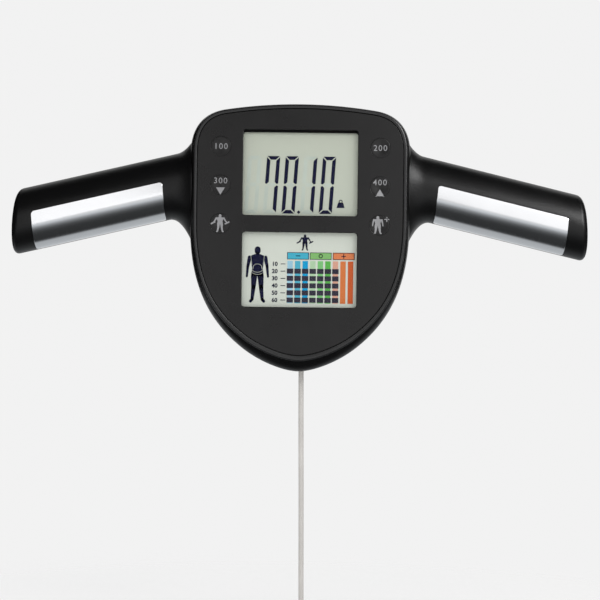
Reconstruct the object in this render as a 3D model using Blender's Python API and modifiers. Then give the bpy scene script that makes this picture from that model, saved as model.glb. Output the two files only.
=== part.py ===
"""Hand unit of a body composition scale: a shield-shaped display head between two drooping electrode grips.

Metres. The display faces -Y, +X is to the right as the user looks at it, and +Z is up. The origin is midway
between the middles of the two grips, on the plane where the two halves of the housing meet.
"""

import math

import bmesh
import bpy
from mathutils import Matrix, Vector

COLLECTION_NAME = "body_composition_hand_unit"
MERGE = 0.00001

SHARP_ANGLE = math.radians(35)

# Fits, and how far the grips, the head and the hollows run past the seam before each half is cut flat there
GAP = 0.0003
OVERRUN = 0.0010
GRIPS_PAST = 0.0020
HEAD_PAST = 0.0025
HOLLOWS_PAST = 0.0030

# Driving sizes: half the head's width, how far it reaches above and below the origin, and the grips' radius
HEAD_HALF_WIDTH = 0.0628
HEAD_TOP = 0.0573
HEAD_CHIN = 0.0954
GRIP_RADIUS = 0.0182

# Outline of the head, from the middle of its top edge down its right side to the chin.
# The shares are of the half width, and of the top's or the chin's height, for the corners of Bezier spans.
OUTLINE_SHARES = (
    ((0.0, 1.0), (0.23, 1.0), (0.46, 0.98), (0.69, 0.94)),
    ((0.69, 0.94), (0.875, 0.905), (1.0, 0.775), (1.0, 0.51)),
    ((1.0, 0.51), (1.0, 0.30), (1.0, 0.09), (1.0, -0.11)),
    ((1.0, -0.11), (1.0, -0.459), (0.847, -0.689), (0.518, -0.86)),
    ((0.518, -0.86), (0.346, -0.949), (0.127, -1.0), (0.0, -1.0)),
)
OUTLINE_STEPS = (4, 6, 1, 6, 5)

# The head stands a little proud of the grips in front and behind. Its rims are as deep as given, and are rounded
# in by their own amounts at the top, side and chin.
FRONT_PROUD = 0.0040
BACK_PROUD = 0.0008
FRONT_RIM_DEPTH = 0.0082
BACK_RIM_DEPTH = 0.0110
HEAD_FRONT = GRIP_RADIUS + FRONT_PROUD
HEAD_BACK = GRIP_RADIUS + BACK_PROUD
RIM_START = HEAD_FRONT - FRONT_RIM_DEPTH
RIM_ROUND = (0.0010, 0.0015, 0.0062)
BACK_START = HEAD_BACK - BACK_RIM_DEPTH
BACK_ROUND = (0.0060, 0.0060, 0.0060)
ROUND_STEPS = 4
WALL = 0.0022

# Grips: two round bars whose axes droop away from the head, and the fillets where they meet it.
# Places along them are counted from the head's side.
GRIP_MID_OUT = 0.0538
GRIP_LENGTH = 0.1022
NECK_ROOT_IN = 0.0148
GRIP_MID_X = HEAD_HALF_WIDTH + GRIP_MID_OUT
GRIP_END_X = HEAD_HALF_WIDTH + GRIP_LENGTH
GRIP_DROOP = math.radians(13.36)
GRIP_END_ROUND = 0.0042
GRIP_END_LEAN = math.radians(16.4)
GRIP_END_SHARES = ((1.0, 1.0), (0.985, 0.6), (0.93, 0.31), (0.80, 0.12), (0.52, 0.0))
GRIP_WALL = 0.0036
GRIP_STEPS = 12
NECK_ROOT_X = HEAD_HALF_WIDTH - NECK_ROOT_IN
NECK_SPREAD_TOP = 0.0049
NECK_SPREAD_BOTTOM = 0.0146
NECK_SPREAD_DEPTH = 0.0018
NECK_LENGTH_TOP = 0.0085
NECK_LENGTH_BOTTOM = 0.0128
NECK_STATION_SHARES = (-0.04, 0.14, 0.32, 0.55, 0.8, 1.0)
NECK_CAVITY_SHARE = 0.5

# Bezel ring round the face
BEZEL_WIDTH = (0.0016, 0.0026, 0.0030)
BEZEL_THICKNESS = 0.0022
BEZEL_ROUND = 0.0009

# Face panel inside the ring: its keys are placed from the head's side and top, and its windows between the keys,
# above and below the bar that parts them
PANEL_THICKNESS = 0.0018
KEY_INSET = 0.0176
KEY_TOP_MARGIN = 0.0251
KEY_PITCH = 0.0219
KEY_X = HEAD_HALF_WIDTH - KEY_INSET
KEY_TOP_Z = HEAD_TOP - KEY_TOP_MARGIN
KEY_TO_WINDOW = 0.01265
WINDOW_WIDTH = 2 * (KEY_X - KEY_TO_WINDOW)
WINDOW_CORNER = 0.0015
WINDOW_TOP_MARGIN = 0.01685
WINDOW_CHIN_MARGIN = 0.0368
WINDOW_BAR_TOP_Z = -0.00665
WINDOW_BAR = 0.00955
LENS_LIP = 0.0012
LENS_THICKNESS = 0.0015

# Displays behind the windows
LCD_LIP = 0.0020
LCD_THICKNESS = 0.0028
FRAME_WALL = 0.0010
FRAME_SHELF = 0.0025
ZEBRA_MARGIN = 0.0091
ZEBRA_WIDTH = WINDOW_WIDTH - ZEBRA_MARGIN
ZEBRA_DEPTH = 0.0024

# Main board
BOARD_FRONT = 0.0090
BOARD_THICKNESS = 0.0016
BOARD_MARGIN = 0.0020
BOARD_CHIN_MARGIN = 0.0204
BOARD_BOTTOM_Z = BOARD_CHIN_MARGIN - HEAD_CHIN
CHIP_SIDE = 0.0120
CHIP_HEIGHT = 0.0015
CHIP_Z = -0.0060
SOCKET_WIDTH = 0.0120
SOCKET_LENGTH = 0.0080
SOCKET_HEIGHT = 0.0092

# Keys and the switches behind them
KEY_ROWS = ("top", "middle", "bottom")
KEY_RADIUS = 0.0054
KEY_DISH = 0.00035
KEY_DISH_SHARES = ((0.0, 1.0), (0.6, 0.6))
KEY_EDGE = 0.0002
KEY_FLANGE_LIP = 0.0010
KEY_FLANGE = 0.0008
KEY_STEM_RADIUS = 0.0022
KEY_TRAVEL = 0.0006
KEY_STEPS = 16
SWITCH_SIDE = 0.0060
SWITCH_HEIGHT = 0.0034
PLUNGER_RADIUS = 0.0017
PLUNGER_HEIGHT = 0.0015

# Electrodes: curved plates let into the grips, placed by angles round the grip from its front line, up positive.
ELECTRODE_THICKNESS = 0.0009
ELECTRODE_START = 0.0157
ELECTRODE_END_MARGIN = 0.0116
ELECTRODE_INNER_X = HEAD_HALF_WIDTH + ELECTRODE_START
ELECTRODE_OUTER_X = GRIP_END_X - ELECTRODE_END_MARGIN
ELECTRODE_LEAN = math.radians(8.9)
ELECTRODE_CORNER = 0.0020
ELECTRODE_ARCS = {
    "front": (math.radians(9.5), math.radians(-84.0)),
    "rear": (math.radians(215.0), math.radians(100.0)),
}
ELECTRODE_STEPS = 12
CORNER_STEPS = 3
TAB_INSET = 0.0137
TAB_X = ELECTRODE_INNER_X + TAB_INSET
TAB_WIDTH = 0.0050
TAB_THICKNESS = 0.0008
TAB_LENGTH = 0.0052
LEAD_RADIUS = 0.0006
LEAD_STRAIGHT = 0.0024
LEAD_OFFSET = 0.0085
LEAD_END_INSET = 0.0113
LEAD_END_X = HEAD_HALF_WIDTH - LEAD_END_INSET
LEAD_END_RISE = 0.0045
LEAD_STEPS = 2

# Screws, and the posts that they go into: the head's are placed from the keys and from the head's top and chin
HOUSING_SCREWS = {"radius": 0.00145, "head_radius": 0.0028, "head_height": 0.0020, "length": 0.0150}
BOARD_SCREWS = {"radius": 0.0011, "head_radius": 0.0022, "head_height": 0.0014, "length": 0.0075}
SCREW_TIP_SHARE = 0.6
HEAD_EDGE_SHARE = 0.25
RECESS_REACH_SHARE = 0.62
RECESS_WIDTH_SHARE = 0.2
RECESS_DEPTH_SHARE = 0.55
SCREW_SIDES = 10
UPPER_POST_OUT = 0.0058
UPPER_POST_MARGIN = 0.0133
LOWER_POST_IN = 0.0032
LOWER_POST_MARGIN = 0.0434
HEAD_POSTS = (
    (KEY_X + UPPER_POST_OUT, HEAD_TOP - UPPER_POST_MARGIN),
    (KEY_X - LOWER_POST_IN, LOWER_POST_MARGIN - HEAD_CHIN),
)
NECK_POST_OUT = 0.0097
NECK_POST_X = HEAD_HALF_WIDTH + NECK_POST_OUT
POST_RADIUS = 0.0034
BOSS_FLOOR = 0.0030
BOARD_TOP_POST_IN = 0.0152
BOARD_TOP_POST_MARGIN = 0.0083
BOARD_CHIN_POST_X = 0.0160
BOARD_CHIN_POST_MARGIN = 0.0269
BOARD_POSTS = (
    (KEY_X - BOARD_TOP_POST_IN, HEAD_TOP - BOARD_TOP_POST_MARGIN),
    (BOARD_CHIN_POST_X, BOARD_CHIN_POST_MARGIN - HEAD_CHIN),
)
BOARD_POST_RADIUS = 0.0027
POST_SIDES = 12

# Cord, its grommet, clamp and plug
CORD_RADIUS = 0.0015
CORD_X = 0.0018
CORD_ROUTE = (
    (0.0016, 0.0, -0.0750),
    (0.0018, 0.0, -0.0954),
    (0.0021, 0.0, -0.1250),
    (0.0026, 0.0, -0.1610),
    (0.0030, 0.0, -0.1970),
    (0.0034, 0.0, -0.2320),
)
CORD_STEPS = 4
CORD_BEVEL_RESOLUTION = 2
GROMMET_RADIUS = 0.0034
GROMMET_FLANGE_RADIUS = 0.0050
GROMMET_FLANGE = 0.0016
GROMMET_RECESS = 0.0006
GROMMET_SIDES = 16
CLAMP_POST_X = 0.0070
CLAMP_CHIN_MARGIN = 0.0154
CLAMP_Z = CLAMP_CHIN_MARGIN - HEAD_CHIN
CLAMP_WIDTH = 0.0060
CLAMP_THICKNESS = 0.0016
PLUG_RADIUS = 0.0045
PLUG_BODY = 0.0150
PLUG_TAPER = 0.0060
PLUG_NECK_RADIUS = 0.0026
PLUG_NOSE_RADIUS = 0.0025
PLUG_NOSE = 0.0045

# Planes that several pieces share, as distances in front of the seam
PANEL_BACK = HEAD_FRONT + GAP
PANEL_FRONT = PANEL_BACK + PANEL_THICKNESS
WALL_BACK = HEAD_FRONT - WALL
LCD_FRONT = WALL_BACK - GAP
LCD_BACK = LCD_FRONT - LCD_THICKNESS
BOARD_BACK = BOARD_FRONT - BOARD_THICKNESS
SEAM = GAP / 2
CAVITY_INSET = tuple(WALL + inset for inset in RIM_ROUND)
BACK_CAVITY_INSET = tuple(WALL + inset for inset in BACK_ROUND)
CAVITY_FLOOR_Z = CAVITY_INSET[2] - HEAD_CHIN

SIDES = {"left": -1, "right": 1}
PLASTIC = {"colour": (0.012, 0.012, 0.013), "roughness": 0.45, "metallic": 0.0}
GLOSS = {"colour": (0.020, 0.020, 0.021), "roughness": 0.25, "metallic": 0.0}
PANEL_GREY = {"colour": (0.030, 0.029, 0.030), "roughness": 0.5, "metallic": 0.0}
CLEAR = {"colour": (0.80, 0.83, 0.80), "roughness": 0.05, "metallic": 0.0}
LCD_GREEN = {"colour": (0.58, 0.63, 0.55), "roughness": 0.3, "metallic": 0.0}
WHITE_PLASTIC = {"colour": (0.70, 0.70, 0.68), "roughness": 0.5, "metallic": 0.0}
PINK_RUBBER = {"colour": (0.60, 0.30, 0.30), "roughness": 0.8, "metallic": 0.0}
BOARD_COLOUR = {"colour": (0.02, 0.16, 0.06), "roughness": 0.4, "metallic": 0.0}
STEEL = {"colour": (0.62, 0.62, 0.61), "roughness": 0.25, "metallic": 1.0}
CORD_GREY = {"colour": (0.50, 0.49, 0.47), "roughness": 0.5, "metallic": 0.0}
RUBBER = {"colour": (0.015, 0.015, 0.015), "roughness": 0.8, "metallic": 0.0}
LEAD_COLOURS = {"front": (0.50, 0.03, 0.02), "rear": (0.02, 0.10, 0.45)}


def clear_scene():
    """Removes whatever the file starts with, and makes the part's collection and the cutters' one."""
    for obj in list(bpy.data.objects):
        bpy.data.objects.remove(obj, do_unlink=True)
    made = []
    for name in (COLLECTION_NAME, "cutters"):
        collection = bpy.data.collections.new(name)
        bpy.context.scene.collection.children.link(collection)
        made.append(collection)
    return made


PARTS, CUTTERS = clear_scene()


def material(name, finish):
    """A plain material in a finish's colour, roughness and metallic value."""
    made = bpy.data.materials.new(name)
    made.use_nodes = True
    shader = made.node_tree.nodes["Principled BSDF"]
    shader.inputs["Base Color"].default_value = (*finish["colour"], 1.0)
    shader.inputs["Roughness"].default_value = finish["roughness"]
    shader.inputs["Metallic"].default_value = finish["metallic"]
    return made


def add_object(name, mesh, finish, matrix=Matrix.Identity(4)):
    """A part where finish is given, and otherwise a hidden cutter."""
    obj = bpy.data.objects.new(name, mesh)
    obj.matrix_world = matrix
    if finish:
        PARTS.objects.link(obj)
        obj.data.materials.append(material(name, finish))
    else:
        CUTTERS.objects.link(obj)
        obj.hide_render = True
        obj.display_type = "WIRE"
    return obj


def add_solid(name, shapes, finish=None, matrix=Matrix.Identity(4)):
    """An object from a bmesh of one or more closed shapes, with its faces turned out."""
    bmesh.ops.recalc_face_normals(shapes, faces=shapes.faces)
    mesh = bpy.data.meshes.new(name)
    shapes.to_mesh(mesh)
    shapes.free()
    mesh.shade_smooth()
    mesh.set_sharp_from_angle(angle=SHARP_ANGLE)
    return add_object(name, mesh, finish, matrix)


def combine(obj, other, operation):
    """Cuts, joins or crosses an object with another."""
    modifier = obj.modifiers.new(other.name, "BOOLEAN")
    modifier.operation = operation
    modifier.object = other
    modifier.solver = "EXACT"


def add_box(shapes, low, high):
    """A box between two corners."""
    size = Vector(high) - Vector(low)
    middle = (Vector(high) + Vector(low)) / 2
    bmesh.ops.create_cube(shapes, size=1, matrix=Matrix.Translation(middle) @ Matrix.Diagonal((*size, 1)))


def add_rod(shapes, start, end, radius, sides):
    """A round bar from start to end."""
    start, end = Vector(start), Vector(end)
    turn = (end - start).to_track_quat("Z", "Y").to_matrix().to_4x4()
    bmesh.ops.create_cone(
        shapes,
        cap_ends=True,
        segments=sides,
        radius1=radius,
        radius2=radius,
        depth=(end - start).length,
        matrix=Matrix.Translation((start + end) / 2) @ turn,
    )


def add_stack(shapes, rings, cyclic=False):
    """A loft through rings of as many points each: closed by flat ends, or back to its first ring."""
    loops = [[shapes.verts.new(point) for point in ring] for ring in rings]
    following = loops[1:] + loops[:1] if cyclic else loops[1:]
    for loop, after in zip(loops, following):
        for index in range(len(loop)):
            step = (index + 1) % len(loop)
            shapes.faces.new((loop[index], loop[step], after[step], after[index]))
    if not cyclic:
        shapes.faces.new(loops[0])
        shapes.faces.new(list(reversed(loops[-1])))


def add_turned(name, profile, sides, finish, matrix):
    """A turned piece: profile holds (radius, height) from its top down its outer side."""
    mesh = bpy.data.meshes.new(name)
    points = [(radius, 0, height) for radius, height in profile]
    mesh.from_pydata(points, [(index, index + 1) for index in range(len(points) - 1)], [])
    obj = add_object(name, mesh, finish, matrix)
    screw = obj.modifiers.new("turn", "SCREW")
    screw.steps = screw.render_steps = sides
    screw.use_merge_vertices = True
    screw.merge_threshold = MERGE
    return obj


def bezier_point(corners, share):
    """A point on a cubic Bezier span."""
    rest = 1 - share
    weights = (rest**3, 3 * rest**2 * share, 3 * rest * share**2, share**3)
    return sum((weight * corner for weight, corner in zip(weights, corners)), Vector((0, 0)))


def head_outline():
    """The head's outline in X and Z, clockwise from the middle of its top edge."""
    half = []
    for span, steps in zip(OUTLINE_SHARES, OUTLINE_STEPS):
        corners = [Vector((x * HEAD_HALF_WIDTH, z * (HEAD_TOP if z > 0 else HEAD_CHIN))) for x, z in span]
        half += [bezier_point(corners, step / steps) for step in range(steps)]
    half.append(Vector((0, -HEAD_CHIN)))
    return half + [Vector((-point.x, point.y)) for point in reversed(half[1:-1])]


def head_ring(y, insets, more=0.0):
    """The outline at a depth, drawn in by its own amount at the top, the sides and the chin."""
    top, side, chin = insets
    loop = head_outline()
    ring = []
    for index, point in enumerate(loop):
        along = loop[(index + 1) % len(loop)] - loop[index - 1]
        outward = Vector((-along.y, along.x)).normalized()
        end = top if outward.y > 0 else chin
        inset = side + (end - side) * outward.y**2 + more
        ring.append((point.x - outward.x * inset, y, point.y - outward.y * inset))
    return ring


def head_half(facing):
    """Half of the head's outer shape, from past the seam to its rounded rim. facing is -1 in front and 1 behind."""
    front = facing < 0
    start, end = (RIM_START, HEAD_FRONT) if front else (BACK_START, HEAD_BACK)
    rounding = RIM_ROUND if front else BACK_ROUND
    none = (0.0, 0.0, 0.0)
    rings = [head_ring(-facing * HEAD_PAST, none), head_ring(facing * start, none)]
    for step in range(1, ROUND_STEPS + 1):
        angle = math.pi / 2 * step / ROUND_STEPS
        insets = tuple(inset * (1 - math.cos(angle)) for inset in rounding)
        rings.append(head_ring(facing * (start + (end - start) * math.sin(angle)), insets))
    return rings


def grip_matrix(side):
    """From a grip's own axes, outwards, to the back and up, to the part's. side is -1 on the left and 1 on the right."""
    turn = Matrix.Rotation(GRIP_DROOP, 4, "Y")
    return Matrix.Diagonal((side, 1, 1, 1)) @ Matrix.Translation((GRIP_MID_X, 0, 0)) @ turn


def along_grip(x):
    """How far outwards of the grip's middle a place lies, from its X on the axis."""
    return (x - GRIP_MID_X) / math.cos(GRIP_DROOP)


def grip_ring(side, facing, x, lean, radius, past, spread=(0.0, 0.0, 0.0), push=0.0):
    """Half of a grip's section, run past the seam, leaning, and spread at its top, bottom and depth."""
    matrix = grip_matrix(side)
    top, bottom, depth = spread
    ring = []
    for step in range(-1, GRIP_STEPS + 2):
        angle = math.pi * min(max(step, 0), GRIP_STEPS) / GRIP_STEPS
        height = math.cos(angle) * (radius + (top if math.cos(angle) > 0 else bottom))
        y = (radius + depth) * math.sin(angle) if 0 <= step <= GRIP_STEPS else -past
        outward = along_grip(x) - height * math.tan(lean) + push
        ring.append(matrix @ Vector((outward, facing * y, height)))
    return ring


def neck_rings(side, facing, radius, past, spread_share, root_x):
    """Sections of the neck from inside the head to where the plain grip starts."""
    rings = []
    root_share = NECK_STATION_SHARES[0]
    for place, share in enumerate((root_share, *NECK_STATION_SHARES)):
        out = share * NECK_LENGTH_BOTTOM
        top = NECK_SPREAD_TOP * max(0.0, 1 - out / NECK_LENGTH_TOP) ** 2
        bottom = NECK_SPREAD_BOTTOM * (1 - out / NECK_LENGTH_BOTTOM) ** 2
        depth = NECK_SPREAD_DEPTH * max(0.0, 1 - out / NECK_LENGTH_TOP) ** 2 if facing < 0 else 0.0
        spread = tuple(spread_share * value for value in (top, bottom, depth))
        x = HEAD_HALF_WIDTH + out if place else root_x
        rings.append(grip_ring(side, facing, x, GRIP_DROOP, radius, past, spread))
    return rings


def grip_half(side, facing):
    """Half of a neck and grip, with its rounded outer end."""
    rings = neck_rings(side, facing, GRIP_RADIUS, GRIPS_PAST, 1.0, NECK_ROOT_X)
    rings.append(grip_ring(side, facing, ELECTRODE_INNER_X, ELECTRODE_LEAN, GRIP_RADIUS, GRIPS_PAST))
    for radius_share, back_share in GRIP_END_SHARES:
        push = -back_share * GRIP_END_ROUND
        radius = radius_share * GRIP_RADIUS
        rings.append(grip_ring(side, facing, GRIP_END_X, GRIP_END_LEAN, radius, GRIPS_PAST, push=push))
    return rings


def grip_cavity(side, facing):
    """The hollow of half a neck and grip, run past the seam and into the head's hollow."""
    radius = GRIP_RADIUS - GRIP_WALL
    root_x = NECK_ROOT_X - OVERRUN
    rings = neck_rings(side, facing, radius, HOLLOWS_PAST, NECK_CAVITY_SHARE, root_x)
    end_x = GRIP_END_X - GRIP_END_ROUND - WALL
    rings.append(grip_ring(side, facing, end_x, GRIP_END_LEAN, radius, HOLLOWS_PAST))
    return rings


def electrode_rings(side, arc, inner_radius, outer_radius, margin):
    """A curved plate on a grip, as four-cornered sections from one of its long edges to the other."""
    matrix = grip_matrix(side)
    start, end = arc
    spare = margin / GRIP_RADIUS
    start, end = start + spare, end - spare
    corner = ELECTRODE_CORNER + margin
    corner_angle = corner / GRIP_RADIUS
    edge = [corner_angle * (1 - math.cos(math.pi / 2 * step / CORNER_STEPS)) for step in range(CORNER_STEPS + 1)]
    span = start - end - 2 * corner_angle
    middle = [corner_angle + span * step / ELECTRODE_STEPS for step in range(1, ELECTRODE_STEPS)]
    drops = edge + middle + [start - end - drop for drop in reversed(edge)]
    inner_end = along_grip(ELECTRODE_INNER_X) - margin
    outer_end = along_grip(ELECTRODE_OUTER_X) + margin
    rings = []
    for drop in drops:
        angle = start - drop
        into = max(0.0, 1 - min(drop, start - end - drop) / corner_angle)
        draw = corner * (1 - math.sqrt(1 - into**2))
        ring = []
        for radius, outward in (
            (inner_radius, inner_end + draw),
            (outer_radius, inner_end + draw),
            (outer_radius, outer_end - draw),
            (inner_radius, outer_end - draw),
        ):
            height = radius * math.sin(angle)
            leaning = outward - height * math.tan(ELECTRODE_LEAN)
            ring.append(matrix @ Vector((leaning, -radius * math.cos(angle), height)))
        rings.append(ring)
    return rings


def tab_place(arc):
    """Where round the grip an electrode's tab turns inwards, as an angle: the middle of its arc."""
    return (arc[0] + arc[1]) / 2


def tab_box(side, arc, margin):
    """A tab under an electrode's middle, through the grip's wall. Returns its shape."""
    shapes = bmesh.new()
    angle = tab_place(arc)
    outer = GRIP_RADIUS - ELECTRODE_THICKNESS / 2
    inner = outer - TAB_LENGTH - margin
    middle = along_grip(TAB_X)
    half = TAB_WIDTH / 2 + margin
    thick = TAB_THICKNESS / 2 + margin
    add_box(shapes, (middle - half, -outer, -thick), (middle + half, -inner, thick))
    turn = Matrix.Rotation(-angle, 4, "X")
    bmesh.ops.transform(shapes, matrix=grip_matrix(side) @ turn, verts=shapes.verts)
    return shapes


def grip_point(side, x, depth, height):
    """A point beside a grip's axis: depth to the back and height square to the axis."""
    return grip_matrix(side) @ Vector((along_grip(x), depth, height))


def rounded_rectangle(width, height, corner, y, z, steps=CORNER_STEPS):
    """A rectangle's outline at a depth, with round corners."""
    ring = []
    for turn, (across, up) in enumerate(((1, 1), (-1, 1), (-1, -1), (1, -1))):
        for step in range(steps + 1):
            angle = math.pi / 2 * (turn + step / steps)
            x = across * (width / 2 - corner) + corner * math.cos(angle)
            ring.append((x, y, z + up * (height / 2 - corner) + corner * math.sin(angle)))
    return ring


def windows():
    """Each window's name, the height of its middle, and its own height."""
    for name, top, bottom in (
        ("upper", HEAD_TOP - WINDOW_TOP_MARGIN, WINDOW_BAR_TOP_Z),
        ("lower", WINDOW_BAR_TOP_Z - WINDOW_BAR, WINDOW_CHIN_MARGIN - HEAD_CHIN),
    ):
        yield name, (top + bottom) / 2, top - bottom


def window_box(shapes, z, height, grow, near, far):
    """A box behind a window, grown on its four sides, between two distances in front of the seam."""
    x = WINDOW_WIDTH / 2 + grow
    half = height / 2 + grow
    add_box(shapes, (-x, -near, z - half), (x, -far, z + half))


def keys():
    """Each key's name and its place on the face."""
    for side_name, side in SIDES.items():
        for row, row_name in enumerate(KEY_ROWS):
            yield f"{side_name}_{row_name}", side * KEY_X, KEY_TOP_Z - row * KEY_PITCH


def screw_places():
    """Each housing screw's X, Z and whether it is in a neck."""
    neck_z = grip_point(1, NECK_POST_X, 0, 0).z
    for x, z in HEAD_POSTS:
        yield from ((side * x, z, False) for side in SIDES.values())
    yield from ((side * NECK_POST_X, neck_z, True) for side in SIDES.values())


def board_posts():
    """Each board screw's X and Z."""
    for x, z in BOARD_POSTS:
        yield from ((side * x, z) for side in SIDES.values())


def cut_chin(housing):
    """Drills the round way through the chin for the grommet, and the seat of its flange."""
    clamp_bottom = CLAMP_Z - CLAMP_WIDTH / 2
    for name, low, high, radius in (
        ("chin_hole", -HEAD_CHIN - OVERRUN, CAVITY_FLOOR_Z + OVERRUN, GROMMET_RADIUS),
        ("flange_seat", CAVITY_FLOOR_Z, clamp_bottom, GROMMET_FLANGE_RADIUS),
    ):
        shapes = bmesh.new()
        add_rod(shapes, (CORD_X, 0, low), (CORD_X, 0, high), radius + GAP, GROMMET_SIDES)
        combine(housing, add_solid(f"{housing.name}_{name}", shapes), "DIFFERENCE")


def make_housing_half(name, facing):
    """One half of the clamshell: the head's half with both grips' halves, hollowed, with its recesses and holes."""
    shapes = bmesh.new()
    add_stack(shapes, head_half(facing))
    housing = add_solid(name, shapes, PLASTIC)
    for side_name, side in SIDES.items():
        shapes = bmesh.new()
        add_stack(shapes, grip_half(side, facing))
        combine(housing, add_solid(f"{name}_{side_name}_grip", shapes), "UNION")
    shapes = bmesh.new()
    floor = WALL_BACK if facing < 0 else HEAD_BACK - WALL
    middle = RIM_START if facing < 0 else BACK_START
    deep_inset = CAVITY_INSET if facing < 0 else BACK_CAVITY_INSET
    add_stack(
        shapes,
        [
            head_ring(-facing * HOLLOWS_PAST, CAVITY_INSET),
            head_ring(facing * middle, CAVITY_INSET),
            head_ring(facing * floor, deep_inset),
        ],
    )
    combine(housing, add_solid(f"{name}_cavity", shapes), "DIFFERENCE")
    for side_name, side in SIDES.items():
        shapes = bmesh.new()
        add_stack(shapes, grip_cavity(side, facing))
        combine(housing, add_solid(f"{name}_{side_name}_cavity", shapes), "DIFFERENCE")
    arc = ELECTRODE_ARCS["front" if facing < 0 else "rear"]
    recess_floor = GRIP_RADIUS - ELECTRODE_THICKNESS - GAP
    shapes = bmesh.new()
    for side in SIDES.values():
        add_stack(shapes, electrode_rings(side, arc, recess_floor, GRIP_RADIUS + OVERRUN, GAP))
    combine(housing, add_solid(f"{name}_recesses", shapes), "DIFFERENCE")
    for side_name, side in SIDES.items():
        slot = tab_box(side, arc, GAP)
        combine(housing, add_solid(f"{name}_{side_name}_slot", slot), "DIFFERENCE")
    cut_chin(housing)
    return housing


def add_drilled(housing, name, posts, bores):
    """Joins posts to a half of the housing and drills them."""
    combine(housing, add_solid(f"{housing.name}_{name}", posts), "UNION")
    combine(housing, add_solid(f"{housing.name}_{name}_bores", bores), "DIFFERENCE")


def add_housing_posts(housing, facing):
    """The posts of the housing's screws, run a little past the seam."""
    posts = bmesh.new()
    bores = bmesh.new()
    root = post_root() if facing < 0 else HEAD_BACK - WALL / 2
    neck_root = GRIP_RADIUS - GRIP_WALL / 2
    drilled = screw_depth() + GAP if facing < 0 else HEAD_BACK + OVERRUN
    for x, z, in_neck in screw_places():
        base = neck_root if in_neck else root
        add_rod(posts, (x, facing * base, z), (x, -facing * OVERRUN, z), POST_RADIUS, POST_SIDES)
        start, end = (x, -facing * HOLLOWS_PAST, z), (x, facing * drilled, z)
        add_rod(bores, start, end, HOUSING_SCREWS["radius"] + GAP, POST_SIDES)
    add_drilled(housing, "posts", posts, bores)


def add_board_posts(housing):
    """The posts that hold the board, in the front half."""
    posts = bmesh.new()
    bores = bmesh.new()
    for x, z in board_posts():
        end = (x, -BOARD_FRONT - GAP, z)
        add_rod(posts, (x, -post_root(), z), end, BOARD_POST_RADIUS, POST_SIDES)
        start, end = (x, -BOARD_FRONT + OVERRUN, z), (x, -board_screw_depth() - GAP, z)
        add_rod(bores, start, end, BOARD_SCREWS["radius"] + GAP, POST_SIDES)
    add_drilled(housing, "board_posts", posts, bores)


def add_clamp_posts(housing):
    """The two posts beside the cord, which reach through the seam to its clamp."""
    posts = bmesh.new()
    bores = bmesh.new()
    for side in SIDES.values():
        x = side * CLAMP_POST_X + CORD_X
        add_rod(posts, (x, -post_root(), CLAMP_Z), (x, CORD_RADIUS, CLAMP_Z), BOARD_POST_RADIUS, POST_SIDES)
        start = (x, CORD_RADIUS + OVERRUN, CLAMP_Z)
        end = (x, clamp_head() - BOARD_SCREWS["length"] - GAP, CLAMP_Z)
        add_rod(bores, start, end, BOARD_SCREWS["radius"] + GAP, POST_SIDES)
    add_drilled(housing, "clamp_posts", posts, bores)


def cut_seam(housing, facing):
    """Cuts a half of the housing flat, just off the seam."""
    shapes = bmesh.new()
    reach = GRIP_END_X + GRIP_RADIUS
    near, far = sorted((facing * SEAM, -facing * (HOLLOWS_PAST + OVERRUN)))
    add_box(shapes, (-reach, near, -HEAD_CHIN - OVERRUN), (reach, far, HEAD_TOP + OVERRUN))
    combine(housing, add_solid(f"{housing.name}_seam", shapes), "DIFFERENCE")


def post_root():
    """How far in front of the seam the posts of the front half are rooted in its wall."""
    return HEAD_FRONT - WALL / 2


def screw_depth():
    """How far in front of the seam a housing screw's tip reaches."""
    return HOUSING_SCREWS["length"] - BOSS_FLOOR - SEAM - GAP


def board_screw_depth():
    """How far in front of the seam a board screw's tip reaches."""
    return BOARD_BACK + BOARD_SCREWS["length"] - GAP


def clamp_head():
    """How far behind the seam the underside of a clamp screw's head lies."""
    return CORD_RADIUS + GAP + CLAMP_THICKNESS + GAP


def make_front_housing():
    """The front half, with its window openings and key holes."""
    housing = make_housing_half("front_housing", -1)
    shapes = bmesh.new()
    for _, z, height in windows():
        window_box(shapes, z, height, LENS_LIP, HEAD_FRONT + OVERRUN, WALL_BACK - OVERRUN)
    for _, x, z in keys():
        start = (x, -HEAD_FRONT - OVERRUN, z)
        add_rod(shapes, start, (x, -WALL_BACK + OVERRUN, z), KEY_RADIUS + GAP, KEY_STEPS)
    combine(housing, add_solid("front_openings", shapes), "DIFFERENCE")
    add_housing_posts(housing, -1)
    add_board_posts(housing)
    cut_seam(housing, -1)
    add_clamp_posts(housing)


def make_rear_housing():
    """The rear half, with a sunk seat for each screw's head."""
    housing = make_housing_half("rear_housing", 1)
    add_housing_posts(housing, 1)
    shapes = bmesh.new()
    for x, z, _ in screw_places():
        start = (x, SEAM + BOSS_FLOOR, z)
        add_rod(shapes, start, (x, HEAD_BACK + OVERRUN, z), HOUSING_SCREWS["head_radius"] + GAP, POST_SIDES)
    combine(housing, add_solid("screw_seats", shapes), "DIFFERENCE")
    cut_seam(housing, 1)


def make_bezel_ring():
    """The ring round the face, on the front housing, with its outer front edge rounded."""
    inner = tuple(round_in + width for round_in, width in zip(RIM_ROUND, BEZEL_WIDTH))
    front = PANEL_BACK + BEZEL_THICKNESS
    slant = BEZEL_ROUND * (1 - math.cos(math.pi / 4))
    shapes = bmesh.new()
    add_stack(
        shapes,
        [
            head_ring(-PANEL_BACK, RIM_ROUND),
            head_ring(-front + BEZEL_ROUND, RIM_ROUND),
            head_ring(-front + slant, RIM_ROUND, slant),
            head_ring(-front, RIM_ROUND, BEZEL_ROUND),
            head_ring(-front, inner),
            head_ring(-PANEL_BACK, inner),
        ],
        cyclic=True,
    )
    add_solid("bezel_ring", shapes, GLOSS)


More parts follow.
